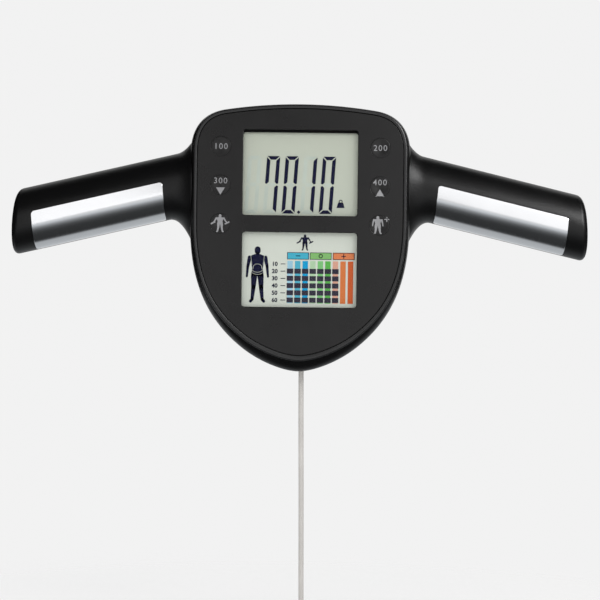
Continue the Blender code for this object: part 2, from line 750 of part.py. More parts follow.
def make_face_panel():
    """The flat panel inside the bezel ring, with its two windows and six key holes."""
    inset = tuple(round_in + width for round_in, width in zip(RIM_ROUND, BEZEL_WIDTH))
    shapes = bmesh.new()
    add_stack(shapes, [head_ring(-PANEL_BACK, inset, GAP), head_ring(-PANEL_FRONT, inset, GAP)])
    panel = add_solid("face_panel", shapes, PANEL_GREY)
    shapes = bmesh.new()
    for _, z, height in windows():
        rings = [
            rounded_rectangle(WINDOW_WIDTH, height, WINDOW_CORNER, y, z)
            for y in (-PANEL_FRONT - OVERRUN, -PANEL_BACK + OVERRUN)
        ]
        add_stack(shapes, rings)
    for _, x, z in keys():
        start = (x, -PANEL_FRONT - OVERRUN, z)
        add_rod(shapes, start, (x, -PANEL_BACK + OVERRUN, z), KEY_RADIUS + GAP, KEY_STEPS)
    combine(panel, add_solid("panel_openings", shapes), "DIFFERENCE")


def make_displays():
    """For each window its clear lens, its display, the frame that holds the display, and its contact strip."""
    for name, z, height in windows():
        shapes = bmesh.new()
        window_box(shapes, z, height, LENS_LIP - GAP, HEAD_FRONT, HEAD_FRONT - LENS_THICKNESS)
        add_solid(f"{name}_window_lens", shapes, CLEAR)
        lcd_grow = LENS_LIP + LCD_LIP
        shapes = bmesh.new()
        window_box(shapes, z, height, lcd_grow, LCD_FRONT, LCD_BACK)
        add_solid(f"{name}_lcd", shapes, LCD_GREEN)
        shapes = bmesh.new()
        window_box(shapes, z, height, lcd_grow + GAP + FRAME_WALL, LCD_FRONT, BOARD_FRONT + GAP)
        frame = add_solid(f"{name}_lcd_frame", shapes, WHITE_PLASTIC)
        shapes = bmesh.new()
        window_box(shapes, z, height, lcd_grow + GAP, LCD_FRONT + OVERRUN, LCD_BACK - GAP)
        combine(frame, add_solid(f"{name}_lcd_pocket", shapes), "DIFFERENCE")
        shapes = bmesh.new()
        window_box(shapes, z, height, lcd_grow - FRAME_SHELF, LCD_FRONT, BOARD_FRONT - OVERRUN)
        combine(frame, add_solid(f"{name}_frame_opening", shapes), "DIFFERENCE")
        shapes = bmesh.new()
        top = z + height / 2 + lcd_grow - FRAME_SHELF - GAP
        low = (-ZEBRA_WIDTH / 2, -LCD_BACK + GAP, top - ZEBRA_DEPTH)
        add_box(shapes, low, (ZEBRA_WIDTH / 2, -BOARD_FRONT - GAP, top))
        add_solid(f"{name}_contact_strip", shapes, PINK_RUBBER)


def make_board():
    """The main board on its posts, with the controller chip and the socket that the cord's wires go to."""
    shapes = bmesh.new()
    add_stack(shapes, [head_ring(-y, CAVITY_INSET, BOARD_MARGIN) for y in (BOARD_FRONT, BOARD_BACK)])
    board = add_solid("main_board", shapes, BOARD_COLOUR)
    shapes = bmesh.new()
    reach = HEAD_HALF_WIDTH
    low = (-reach, -BOARD_FRONT - OVERRUN, -HEAD_CHIN)
    add_box(shapes, low, (reach, -BOARD_BACK + OVERRUN, BOARD_BOTTOM_Z))
    combine(board, add_solid("board_end", shapes), "DIFFERENCE")
    shapes = bmesh.new()
    for x, z, in_neck in screw_places():
        if not in_neck:
            start = (x, -BOARD_FRONT - OVERRUN, z)
            add_rod(shapes, start, (x, -BOARD_BACK + OVERRUN, z), POST_RADIUS + OVERRUN, POST_SIDES)
    for x, z in board_posts():
        start = (x, -BOARD_FRONT - OVERRUN, z)
        add_rod(shapes, start, (x, -BOARD_BACK + OVERRUN, z), BOARD_SCREWS["radius"] + GAP, POST_SIDES)
    combine(board, add_solid("board_holes", shapes), "DIFFERENCE")
    shapes = bmesh.new()
    low = (-CHIP_SIDE / 2, -BOARD_BACK + GAP, CHIP_Z - CHIP_SIDE / 2)
    add_box(shapes, low, (CHIP_SIDE / 2, -BOARD_BACK + GAP + CHIP_HEIGHT, CHIP_Z + CHIP_SIDE / 2))
    add_solid("controller_chip", shapes, RUBBER)
    shapes = bmesh.new()
    bottom = CORD_ROUTE[0][2] + GAP
    low = (CORD_X - SOCKET_WIDTH / 2, -BOARD_BACK + GAP, bottom)
    high = (CORD_X + SOCKET_WIDTH / 2, -BOARD_BACK + GAP + SOCKET_HEIGHT, bottom + SOCKET_LENGTH)
    add_box(shapes, low, high)
    add_solid("cord_socket", shapes, WHITE_PLASTIC)


def make_key(name, x, z):
    """A round key, dished in front, held behind the wall by its flange, with a stem towards its switch."""
    flange_front = PANEL_FRONT - WALL_BACK + GAP
    flange_back = flange_front + KEY_FLANGE
    stem_end = PANEL_FRONT - BOARD_FRONT - GAP - SWITCH_HEIGHT - PLUNGER_HEIGHT - GAP - KEY_TRAVEL
    profile = [(share * KEY_RADIUS, -sunk * KEY_DISH) for share, sunk in KEY_DISH_SHARES]
    profile += [
        (KEY_RADIUS - KEY_EDGE, 0),
        (KEY_RADIUS, -KEY_EDGE),
        (KEY_RADIUS, -flange_front),
        (KEY_RADIUS + KEY_FLANGE_LIP, -flange_front),
        (KEY_RADIUS + KEY_FLANGE_LIP, -flange_back),
        (KEY_STEM_RADIUS, -flange_back),
        (KEY_STEM_RADIUS, -stem_end),
        (0, -stem_end),
    ]
    matrix = Matrix.Translation((x, -PANEL_FRONT, z)) @ Matrix.Rotation(math.pi / 2, 4, "X")
    add_turned(f"key_{name}", profile, KEY_STEPS, PANEL_GREY, matrix)


def make_switch(name, x, z):
    """A square push switch on the board with its round plunger."""
    shapes = bmesh.new()
    half = SWITCH_SIDE / 2
    back = -BOARD_FRONT - GAP
    add_box(shapes, (x - half, back - SWITCH_HEIGHT, z - half), (x + half, back, z + half))
    switch = add_solid(f"switch_{name}", shapes, RUBBER)
    shapes = bmesh.new()
    top = back - SWITCH_HEIGHT - PLUNGER_HEIGHT
    add_rod(shapes, (x, top, z), (x, back - SWITCH_HEIGHT / 2, z), PLUNGER_RADIUS, SCREW_SIDES)
    combine(switch, add_solid(f"plunger_{name}", shapes), "UNION")


def make_electrode(side_name, place):
    """A curved steel plate let into a grip, with the tab that its lead is soldered to."""
    side = SIDES[side_name]
    arc = ELECTRODE_ARCS[place]
    name = f"{side_name}_{place}_electrode"
    shapes = bmesh.new()
    add_stack(shapes, electrode_rings(side, arc, GRIP_RADIUS - ELECTRODE_THICKNESS, GRIP_RADIUS, 0.0))
    electrode = add_solid(name, shapes, STEEL)
    combine(electrode, add_solid(f"{name}_tab", tab_box(side, arc, 0.0)), "UNION")


def smooth_route(points, steps):
    """Points along a Catmull-Rom curve through the given ones."""
    points = [Vector(point) for point in points]
    ends = [2 * points[0] - points[1], *points, 2 * points[-1] - points[-2]]
    route = []
    for before, start, end, after in zip(ends, ends[1:], ends[2:], ends[3:]):
        for step in range(steps):
            t = step / steps
            route.append(
                (
                    2 * start
                    + (end - before) * t
                    + (2 * before - 5 * start + 4 * end - after) * t**2
                    + (3 * start - before - 3 * end + after) * t**3
                )
                / 2
            )
    return [*route, points[-1]]


def make_tube(name, points, radius, finish):
    """A round tube with flat ends along a line of points."""
    curve = bpy.data.curves.new(name, "CURVE")
    curve.dimensions = "3D"
    curve.bevel_depth = radius
    curve.bevel_resolution = CORD_BEVEL_RESOLUTION
    curve.use_fill_caps = True
    spline = curve.splines.new("POLY")
    spline.points.add(len(points) - 1)
    for place, point in zip(spline.points, points):
        place.co = (*point, 1)
    return add_object(name, curve, finish)


def make_lead(side_name, place):
    """An electrode's wire, from its tab past the neck's post to the back of the board."""
    side = SIDES[side_name]
    angle = tab_place(ELECTRODE_ARCS[place])
    across = 1 if place == "rear" else -1
    tab_end = GRIP_RADIUS - ELECTRODE_THICKNESS / 2 - TAB_LENGTH - GAP
    turned_in = tab_end - LEAD_STRAIGHT
    height = across * LEAD_OFFSET
    board_z = grip_point(side, LEAD_END_X, 0, 0).z + height
    lead_end = Vector((side * LEAD_END_X, -BOARD_BACK + GAP, board_z))
    points = [
        grip_point(side, TAB_X, -tab_end * math.cos(angle), tab_end * math.sin(angle)),
        grip_point(side, TAB_X, -turned_in * math.cos(angle), turned_in * math.sin(angle)),
        grip_point(side, (TAB_X + NECK_POST_X) / 2, 0, height),
        grip_point(side, NECK_POST_X, 0, height),
        grip_point(side, HEAD_HALF_WIDTH, 0, height),
        lead_end + Vector((0, LEAD_END_RISE, 0)),
        lead_end,
    ]
    finish = {"colour": LEAD_COLOURS[place], "roughness": 0.5, "metallic": 0.0}
    make_tube(f"{side_name}_{place}_lead", smooth_route(points, LEAD_STEPS), LEAD_RADIUS, finish)


def make_screw(name, sizes, matrix, recessed=False):
    """A pan-head screw. Its own +Z is out of its head, and its origin is under the head."""
    radius, head = sizes["radius"], sizes["head_radius"]
    height, length = sizes["head_height"], sizes["length"]
    edge = HEAD_EDGE_SHARE * height
    profile = [
        (0, height),
        (head - edge, height),
        (head, height - edge),
        (head, 0),
        (radius, 0),
        (radius, radius - length),
        (radius * SCREW_TIP_SHARE, -length),
        (0, -length),
    ]
    screw = add_turned(name, profile, SCREW_SIDES, STEEL, matrix)
    if recessed:
        cut_recess(screw, head, height, matrix)


def cut_recess(screw, head, height, matrix):
    """Cuts the cross recess into a screw's head."""
    shapes = bmesh.new()
    reach, half = head * RECESS_REACH_SHARE, head * RECESS_WIDTH_SHARE
    low, high = height * (1 - RECESS_DEPTH_SHARE), height + OVERRUN
    ring = [(reach, half), (half, half), (half, reach), (-half, reach), (-half, half), (-reach, half)]
    ring += [(-x, -y) for x, y in ring]
    add_stack(shapes, [[(x, y, z) for x, y in ring] for z in (low, high)])
    combine(screw, add_solid(f"{screw.name}_recess", shapes, matrix=matrix), "DIFFERENCE")


def make_screws():
    """The housing's, the board's and the clamp's screws, all driven from behind."""
    turn = Matrix.Rotation(-math.pi / 2, 4, "X")
    for number, (x, z, _) in enumerate(screw_places(), 1):
        place = Matrix.Translation((x, SEAM + BOSS_FLOOR + GAP, z))
        make_screw(f"housing_screw_{number}", HOUSING_SCREWS, place @ turn, recessed=True)
    for number, (x, z) in enumerate(board_posts(), 1):
        place = Matrix.Translation((x, -BOARD_BACK + GAP, z))
        make_screw(f"board_screw_{number}", BOARD_SCREWS, place @ turn)
    for number, side in enumerate(SIDES.values(), 1):
        place = Matrix.Translation((side * CLAMP_POST_X + CORD_X, clamp_head(), CLAMP_Z))
        make_screw(f"clamp_screw_{number}", BOARD_SCREWS, place @ turn)


def make_cord():
    """The cord with the grommet in the chin, the clamp inside and the plug on its far end."""
    make_tube("cord", smooth_route(CORD_ROUTE, CORD_STEPS), CORD_RADIUS, CORD_GREY)
    shapes = bmesh.new()
    bottom, top = GROMMET_RECESS - HEAD_CHIN, CAVITY_FLOOR_Z + GAP + GROMMET_FLANGE
    add_rod(shapes, (CORD_X, 0, bottom), (CORD_X, 0, top), GROMMET_RADIUS, GROMMET_SIDES)
    grommet = add_solid("cord_grommet", shapes, RUBBER)
    shapes = bmesh.new()
    start = (CORD_X, 0, CAVITY_FLOOR_Z + GAP)
    add_rod(shapes, start, (CORD_X, 0, top), GROMMET_FLANGE_RADIUS, GROMMET_SIDES)
    combine(grommet, add_solid("grommet_flange", shapes), "UNION")
    shapes = bmesh.new()
    start = (CORD_X, 0, bottom - OVERRUN)
    add_rod(shapes, start, (CORD_X, 0, top + OVERRUN), CORD_RADIUS + GAP, GROMMET_SIDES)
    combine(grommet, add_solid("grommet_bore", shapes), "DIFFERENCE")
    shapes = bmesh.new()
    reach = CLAMP_POST_X + BOARD_POST_RADIUS
    near = CORD_RADIUS + GAP
    low = (CORD_X - reach, near, CLAMP_Z - CLAMP_WIDTH / 2)
    add_box(shapes, low, (CORD_X + reach, near + CLAMP_THICKNESS, CLAMP_Z + CLAMP_WIDTH / 2))
    clamp = add_solid("cord_clamp", shapes, STEEL)
    shapes = bmesh.new()
    for side in SIDES.values():
        x = side * CLAMP_POST_X + CORD_X
        end = (x, near + CLAMP_THICKNESS + OVERRUN, CLAMP_Z)
        add_rod(shapes, (x, 0, CLAMP_Z), end, BOARD_SCREWS["radius"] + GAP, POST_SIDES)
    combine(clamp, add_solid("clamp_holes", shapes), "DIFFERENCE")
    profile = [
        (0, 0),
        (PLUG_NECK_RADIUS, 0),
        (PLUG_RADIUS, -PLUG_TAPER),
        (PLUG_RADIUS, -PLUG_TAPER - PLUG_BODY),
        (PLUG_NOSE_RADIUS, -PLUG_TAPER - PLUG_BODY),
        (PLUG_NOSE_RADIUS, -PLUG_TAPER - PLUG_BODY - PLUG_NOSE),
        (0, -PLUG_TAPER - PLUG_BODY - PLUG_NOSE),
    ]
    end = Vector(CORD_ROUTE[-1]) - Vector((0, 0, GAP))
    add_turned("cord_plug", profile, GROMMET_SIDES, CORD_GREY, Matrix.Translation(end))


def main():
    """Builds every piece."""
    make_front_housing()
    make_rear_housing()
    make_bezel_ring()
    make_face_panel()
    make_displays()
    make_board()
    for name, x, z in keys():
        make_key(name, x, z)
        make_switch(name, x, z)
    for side_name in SIDES:
        for place in ELECTRODE_ARCS:
            make_electrode(side_name, place)
            make_lead(side_name, place)
    make_screws()
    make_cord()


main()
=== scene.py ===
"""The hand unit of a body composition scale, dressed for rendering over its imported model.

Metres. The display faces -Y, +X is to the right as the user looks at it, and +Z is up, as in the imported
model. The origin is midway between the middles of the two grips, on the plane where the housing's halves
meet.
"""

import logging
import math
from collections.abc import Callable, Iterator, Sequence
from dataclasses import dataclass, field
from enum import Enum

import bmesh
import bpy
from mathutils import Matrix, Vector
from mathutils.geometry import interpolate_bezier


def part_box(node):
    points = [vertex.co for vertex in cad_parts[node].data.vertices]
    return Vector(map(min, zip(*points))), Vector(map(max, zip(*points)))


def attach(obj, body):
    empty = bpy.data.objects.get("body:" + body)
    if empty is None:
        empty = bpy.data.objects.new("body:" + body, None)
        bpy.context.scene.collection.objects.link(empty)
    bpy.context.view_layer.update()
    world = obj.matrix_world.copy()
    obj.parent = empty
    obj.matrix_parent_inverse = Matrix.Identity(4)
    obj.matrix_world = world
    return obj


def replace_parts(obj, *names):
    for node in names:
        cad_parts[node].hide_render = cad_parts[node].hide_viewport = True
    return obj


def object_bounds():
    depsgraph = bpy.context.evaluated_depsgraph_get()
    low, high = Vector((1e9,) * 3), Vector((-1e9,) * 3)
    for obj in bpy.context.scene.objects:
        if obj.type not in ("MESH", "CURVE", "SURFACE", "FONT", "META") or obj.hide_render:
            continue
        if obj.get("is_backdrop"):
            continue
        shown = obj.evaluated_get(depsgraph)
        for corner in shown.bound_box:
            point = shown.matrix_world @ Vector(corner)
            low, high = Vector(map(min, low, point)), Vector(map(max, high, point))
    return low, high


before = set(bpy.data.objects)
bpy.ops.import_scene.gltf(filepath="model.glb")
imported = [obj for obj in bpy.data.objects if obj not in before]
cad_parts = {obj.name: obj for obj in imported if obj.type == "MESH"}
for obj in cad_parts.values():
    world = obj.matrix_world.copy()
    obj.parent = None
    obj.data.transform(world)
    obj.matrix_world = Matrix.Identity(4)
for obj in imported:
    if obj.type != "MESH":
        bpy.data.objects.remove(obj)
CAD_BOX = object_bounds()

LOG = logging.getLogger("hand_unit")
UNIT_BODY = "unit"
MM = 0.001
# How far a cutter runs past what it cuts, and how near points are that become one.
OVERRUN = 0.0010
MERGE_DISTANCE = 1e-7
# The angle from which an edge looks sharp, the same on flat plates, and the area from which a face is flat.
SHARP_ANGLE = math.radians(32)
FLAT_SHARP_ANGLE = math.radians(8)
FLAT_AREA = 0.0003
# How many finer layers the slow drift, the fine grain and the brushed lines have.
SLOW_DETAIL = 3.0
FINE_DETAIL = 2.0
LINE_DETAIL = 4.0
# How many steps the round ends of a thin printed line have.
LINE_STEPS = 3

Shape = bmesh.types.BMesh
Object = bpy.types.Object
Material = bpy.types.Material
Tree = bpy.types.NodeTree
Node = bpy.types.Node
Socket = bpy.types.NodeSocket
Ring = list[Vector]
Triple = tuple[float, float, float]
Colour = tuple[float, float, float]
Inputs = dict[str | int, Socket | float | Sequence[float]]

WHITE = (1.0, 1.0, 1.0, 1.0)
BLACK = (0.0, 0.0, 0.0, 1.0)


class Facing(Enum):
    """Which half of the housing a shape belongs to, as the sign of its Y."""

    FRONT = -1
    REAR = 1


class Side(Enum):
    """Left or right as the user sees the unit, as the sign of X."""

    LEFT = -1
    RIGHT = 1

    @property
    def label(self) -> str:
        """The side's word in the names of nodes."""
        return self.name.lower()


class Row(Enum):
    """A row of keys, counted down from the top."""

    TOP = 0
    MIDDLE = 1
    BOTTOM = 2

    @property
    def label(self) -> str:
        """The row's word in the names of nodes."""
        return self.name.lower()


class Operation(Enum):
    """How one shape is combined with another."""

    JOIN = "UNION"
    CUT = "DIFFERENCE"


class Sign(Enum):
    """What a header of the chart shows."""

    MINUS = "minus"
    RING = "ring"
    PLUS = "plus"


# What scenes and materials are made with


def mesh_of(name: str, shape: Shape) -> bpy.types.Mesh:
    """Makes a shape a mesh.

    Args:
        name: The mesh's name.
        shape: The shape, which is used up.

    Returns:
        The mesh.
    """
    mesh = bpy.data.meshes.new(name)
    shape.to_mesh(mesh)
    shape.free()
    return mesh


def put(name: str, data: bpy.types.ID) -> Object:
    """Puts an object that has this data in the scene."""
    made = bpy.data.objects.new(name, data)
    bpy.context.scene.collection.objects.link(made)
    return made


def feed(node: Node, inputs: Inputs) -> Node:
    """Sets or links a node's inputs.

    Args:
        node: The node.
        inputs: By an input's name or place, what it is set to or the socket that it is linked to.

    Returns:
        The node.
    """
    for key, value in inputs.items():
        if isinstance(value, Socket):
            node.id_data.links.new(value, node.inputs[key])
        else:
            node.inputs[key].default_value = value
    return node


def add_node(tree: Tree, kind: str, inputs: Inputs, operation: str | None = None) -> Node:
    """Adds a shader node.

    Args:
        tree: The nodes that it is added to.
        kind: Its type's name without the prefix that all of them have.
        inputs: What its inputs are set or linked to.
        operation: What it works out, for a node that can do several things.

    Returns:
        The node.
    """
    node = tree.nodes.new(f"ShaderNode{kind}")
    if operation:
        node.operation = operation
    return feed(node, inputs)


def own_coordinates(tree: Tree) -> Socket:
    """Adds the coordinates of the object that has the material."""
    return add_node(tree, "TexCoord", {}).outputs["Object"]


def map_range(
    tree: Tree,
    value: Socket,
    source: tuple[float, float] = (0.0, 1.0),
    result: tuple[float, float] = (0.0, 1.0),
    kind: str = "LINEAR",
) -> Socket:
    """Takes a number from one range to another.

    Args:
        tree: The nodes of a material or a world.
        value: The number.
        source: The range that it lies in.
        result: The range that it is taken to.
        kind: How it runs between the range's ends.

    Returns:
        The socket with the result.
    """
    limits = zip(("From Min", "From Max", "To Min", "To Max"), (*source, *result))
    node = add_node(tree, "MapRange", {"Value": value, **dict(limits)})
    node.interpolation_type = kind
    return node.outputs["Result"]


def colour_ramp(tree: Tree, value: Socket, stops: Sequence[tuple[float, Sequence[float]]]) -> Socket:
    """Takes a number to a colour.

    Args:
        tree: The nodes of a material.
        value: The number, from 0 to 1.
        stops: Numbers and their colours, in order.

    Returns:
        The socket with the colour.
    """
    node = add_node(tree, "ValToRGB", {"Fac": value})
    elements = node.color_ramp.elements
    for element, (place, colour) in zip((elements[0], elements[1]), (stops[0], stops[-1])):
        element.position, element.color = place, (*colour, 1.0)
    for place, colour in stops[1:-1]:
        elements.new(place).color = (*colour, 1.0)
    return node.outputs["Color"]


def noise(tree: Tree, place: Socket, scale: float, detail: float) -> Socket:
    """Adds a noise pattern.

    Args:
        tree: The material's nodes.
        place: The coordinates to read.
        scale: Features a metre.
        detail: How many finer layers it has.

    Returns:
        The socket with its value from 0 to 1.
    """
    return add_node(tree, "TexNoise", {"Vector": place, "Scale": scale, "Detail": detail}).outputs["Fac"]


def new_material(name: str, inputs: Inputs) -> tuple[Material, Node]:
    """Makes a material.

    Args:
        name: Its name.
        inputs: What its shader's inputs are set to.

    Returns:
        The material and its shader.
    """
    made = bpy.data.materials.new(name)
    made.use_nodes = True
    return made, feed(made.node_tree.nodes["Principled BSDF"], inputs)


# Finishes


@dataclass(frozen=True)
class Finish:
    """A surface with fine grain, a slow drift in its colour and a slow drift in its gloss.

    Grain and drift are in features a metre, and bump_depth is in metres. The colour drifts over colour_span
    of the pattern.
    """

    name: str
    slot: str
    colour: Colour
    roughness: float
    metallic: float = 0.0
    specular: float = 0.5
    grain: float = 2600.0
    bump: float = 0.12
    bump_depth: float = 0.00006
    drift: float = 60.0
    colour_drift: float = 0.10
    colour_span: tuple[float, float] = (0.25, 0.75)
    gloss_drift: float = 0.06

    def material(self) -> Material:
        """Makes the material, or finds it where it has been made.

        Returns:
            The material.
        """
        name = f"{self.name}_surface"
        found = bpy.data.materials.get(name)
        if found:
            return found
        made, shader = new_material(name, {"Metallic": self.metallic, "Specular IOR Level": self.specular})
        self.wire(made.node_tree, shader)
        made.diffuse_color = (*self.colour, 1.0)
        return made

    def wire(self, tree: Tree, shader: Node) -> None:
        """Wires the slow drift to the colour and the gloss, and the fine grain to the relief.

        Args:
            tree: The material's nodes.
            shader: Its Principled BSDF.
        """
        coordinates = own_coordinates(tree)
        slow = noise(tree, coordinates, self.drift, SLOW_DETAIL)
        fine = noise(tree, coordinates, self.grain, FINE_DETAIL)
        self.finish(shader, self.drifting_colour(tree, slow), slow, fine)

    def drifting_colour(self, tree: Tree, pattern: Socket) -> Socket:
        """Drives the colour between a darker and a lighter one.

        Args:
            tree: The material's nodes.
            pattern: What drives it, from 0 to 1.

        Returns:
            The socket with the colour.
        """
        darker = [channel * (1 - self.colour_drift) for channel in self.colour]
        lighter = [min(1.0, channel * (1 + self.colour_drift)) for channel in self.colour]
        return colour_ramp(tree, pattern, list(zip(self.colour_span, (darker, lighter))))

    def finish(self, shader: Node, colour: Socket, gloss: Socket, relief: Socket) -> None:
        """Gives the shader its colour, its gloss and its relief.

        Args:
            shader: The material's Principled BSDF.
            colour: The colour.
            gloss: The pattern that drives the roughness, from 0 to 1.
            relief: The pattern of the relief.
        """
        tree = shader.id_data
        limits = (max(0.0, self.roughness - self.gloss_drift), self.roughness + self.gloss_drift)
        bump = {"Strength": self.bump, "Distance": self.bump_depth, "Height": relief}
        inputs = {
            "Base Color": colour,
            "Roughness": map_range(tree, gloss, result=limits),
            "Normal": add_node(tree, "Bump", bump).outputs["Normal"],
        }
        feed(shader, inputs)


@dataclass(frozen=True)
class BrushedSteel(Finish):
    """Steel with fine lines along a grip, which leans by the angle given."""

    lean: float = 0.0
    stretch: float = 0.02

    def wire(self, tree: Tree, shader: Node) -> None:
        """Wires fine lines to the gloss and the relief, and a slow drift to the colour.

        Args:
            tree: The material's nodes.
            shader: Its Principled BSDF.
        """
        coordinates = own_coordinates(tree)
        along = {
            "Vector": coordinates,
            "Rotation": (0.0, self.lean, 0.0),
            "Scale": (self.stretch, 1.0, 1.0),
        }
        stretched = add_node(tree, "Mapping", along).outputs["Vector"]
        lines = noise(tree, stretched, self.grain, LINE_DETAIL)
        slow = noise(tree, coordinates, self.drift, SLOW_DETAIL)
        self.finish(shader, self.drifting_colour(tree, slow), lines, lines)


@dataclass(frozen=True)
class ClearPlastic(Finish):
    """Clear plastic that shows what is behind it."""

    alpha: float = 0.1

    def wire(self, tree: Tree, shader: Node) -> None:
        """Wires the pattern and sets how much of what is behind shows."""
        shader.inputs["Alpha"].default_value = self.alpha
        super().wire(tree, shader)


@dataclass(frozen=True)
class DisplayGlass(Finish):
    """The face of a liquid crystal cell, whose colour may change towards its top as a painted shade under the
    window's top edge.
    """

    top_colour: Colour = (0.55, 0.58, 0.50)
    bottom_z: float = 0.0
    top_z: float = 1.0

    def wire(self, tree: Tree, shader: Node) -> None:
        """Wires a change of colour with height, which is a painted shade where the top colour is darker, broken
        up by the slow drift.

        Args:
            tree: The material's nodes.
            shader: Its Principled BSDF.
        """
        coordinates = own_coordinates(tree)
        slow = noise(tree, coordinates, self.drift, SLOW_DETAIL)
        fine = noise(tree, coordinates, self.grain, FINE_DETAIL)
        z = add_node(tree, "SeparateXYZ", {"Vector": coordinates}).outputs["Z"]
        height = map_range(tree, z, (self.bottom_z, self.top_z))
        broken = add_node(tree, "Math", {0: slow, 1: self.colour_drift, 2: height}, "MULTIPLY_ADD")
        stops = ((0.0, self.colour), (1.0, self.top_colour))
        self.finish(shader, colour_ramp(tree, broken.outputs["Value"], stops), slow, fine)


HOUSING_PLASTIC = Finish(
    "housing_plastic",
    "housing_plastic",
    (0.0030, 0.0030, 0.0032),
    0.38,
    specular=0.30,
    grain=1300.0,
    bump=0.75,
)
BEZEL_GLOSS = Finish("bezel_gloss", "bezel_gloss", (0.009, 0.009, 0.0095), 0.30, grain=1800.0, bump=0.05)
PANEL_GREY = Finish("panel_grey", "panel_grey", (0.0075, 0.0071, 0.0073), 0.29, specular=0.32, bump=0.10)
KEY_GREY = Finish("key_grey", "panel_grey", (0.0072, 0.0068, 0.0070), 0.29, specular=0.32, bump=0.10)
CLEAR_WINDOW = ClearPlastic("clear_window", "clear_window", (0.02, 0.02, 0.02), 0.06, bump=0.01, alpha=0.06)
LEGEND_GREY = Finish("legend_grey", "panel_grey", (0.25, 0.25, 0.26), 0.55, bump=0.05)
FRAME_WHITE = Finish("white_plastic", "white_plastic", (0.68, 0.68, 0.66), 0.50)
CONTACT_RUBBER = Finish("contact_rubber", "contact_rubber", (0.55, 0.27, 0.27), 0.80)
BOARD_GREEN = Finish(
    "circuit_board", "circuit_board", (0.02, 0.15, 0.06), 0.40, grain=1200.0, colour_drift=0.25
)
CHIP_BLACK = Finish("black_component", "black_component", (0.015, 0.015, 0.015), 0.60)
RED_WIRE = Finish("red_wire", "red_wire", (0.45, 0.03, 0.02), 0.50)
BLUE_WIRE = Finish("blue_wire", "blue_wire", (0.02, 0.09, 0.42), 0.50)
SCREW_STEEL = Finish("screw_steel", "screw_steel", (0.55, 0.55, 0.54), 0.32, metallic=1.0, grain=1500.0)
BLACK_RUBBER = Finish("black_rubber", "black_rubber", (0.012, 0.012, 0.012), 0.75, bump=0.3)
CORD_GREY = Finish("cord_grey", "cord_grey", (0.55, 0.53, 0.505), 0.42, bump=0.15, grain=1500.0)
MASK_BLACK = Finish("mask_black", "black_rubber", (0.004, 0.004, 0.004), 0.80, specular=0.08, bump=0.1)
INK = Finish("segment_ink", "display_glass", (0.008, 0.009, 0.036), 0.5, specular=0.05, bump=0.02)
PALE_INK = Finish("figure_line", "display_glass", (0.62, 0.66, 0.57), 0.5, specular=0.05, bump=0.02)
GHOST_INK = Finish("ghost_segment", "display_glass", (0.530, 0.595, 0.530), 0.40, specular=0.1, bump=0.02)
CELL_INK = Finish("cell_ink", "display_glass", (0.042, 0.038, 0.060), 0.5, specular=0.05, colour_drift=0.3)


def steel(side: Side, droop: float) -> BrushedSteel:
    """The steel of one grip's electrodes.

    Args:
        side: Which grip.
        droop: How far the grip's axis leans from level.

    Returns:
        The finish.
    """
    return BrushedSteel(
        f"electrode_steel_{side.label}",
        "electrode_steel",
        colour=(0.74, 0.745, 0.76),
        roughness=0.16,
        metallic=1.0,
        grain=9000.0,
        bump=0.05,
        bump_depth=0.00003,
        drift=40.0,
        colour_drift=0.03,
        gloss_drift=0.05,
        lean=side.value * droop,
    )


# Shapes


def loft(rings: Sequence[Ring], cyclic: bool = False) -> Shape:
    """Skins a row of rings with as many points each.

    Args:
        rings: The rings, in order.
        cyclic: Whether the last ring joins the first. Otherwise both ends are closed flat.

    Returns:
        The closed shape.
    """
    shape = bmesh.new()
    loops = []
    for ring in rings:
        verts = [shape.verts.new(point) for point in ring]
        loops.append([shape.edges.new((verts[index - 1], verts[index])) for index in range(len(verts))])
    following = loops[1:] + loops[:1] if cyclic else loops[1:]
    for loop, after in zip(loops, following):
        bmesh.ops.bridge_loops(shape, edges=loop + after)
    if not cyclic:
        bmesh.ops.edgeloop_fill(shape, edges=loops[0])
        bmesh.ops.edgeloop_fill(shape, edges=loops[-1])
    bmesh.ops.recalc_face_normals(shape, faces=shape.faces)
    return shape


def turned(profile: Sequence[tuple[float, float]], steps: int, place: Matrix) -> Shape:
    """Turns a profile about its own Z axis.

    Args:
        profile: Pairs of radius and height, whose ends lie on the axis.
        steps: How many faces go round.
        place: Where the turned shape goes.

    Returns:
        The closed shape.
    """
    shape = bmesh.new()
    verts = [shape.verts.new((radius, 0.0, height)) for radius, height in profile]
    edges = [shape.edges.new(pair) for pair in zip(verts, verts[1:])]
    bmesh.ops.spin(
        shape,
        geom=verts + edges,
        cent=(0, 0, 0),
        axis=(0, 0, 1),
        angle=math.tau,
        steps=steps,
        use_merge=True,
    )
    bmesh.ops.remove_doubles(shape, verts=shape.verts, dist=MERGE_DISTANCE)
    bmesh.ops.recalc_face_normals(shape, faces=shape.faces)
    bmesh.ops.transform(shape, matrix=place, verts=shape.verts)
    return shape


def rod(start: Vector, end: Vector, radius: float, sides: int) -> Shape:
    """A round bar.

    Args:
        start: The middle of one end.
        end: The middle of the other.
        radius: Its radius.
        sides: How many faces go round.

    Returns:
        The closed shape.
    """
    shape = bmesh.new()
    turn = (end - start).to_track_quat("Z", "Y").to_matrix().to_4x4()
    bmesh.ops.create_cone(
        shape,
        cap_ends=True,
        segments=sides,
        radius1=radius,
        radius2=radius,
        depth=(end - start).length,
        matrix=Matrix.Translation((start + end) / 2) @ turn,
    )
    return shape


def box(low: Vector, high: Vector, edge: float = 0.0) -> Shape:
    """A box with rounded edges.

    Args:
        low: Its lowest corner.
        high: Its highest corner.
        edge: How far its edges are rounded.

    Returns:
        The closed shape.
    """
    shape = bmesh.new()
    scale = Matrix.Diagonal((*(high - low), 1.0))
    bmesh.ops.create_cube(shape, size=1.0, matrix=Matrix.Translation((low + high) / 2) @ scale)
    if edge:
        soften(shape, shape.edges[:], edge)
    return shape


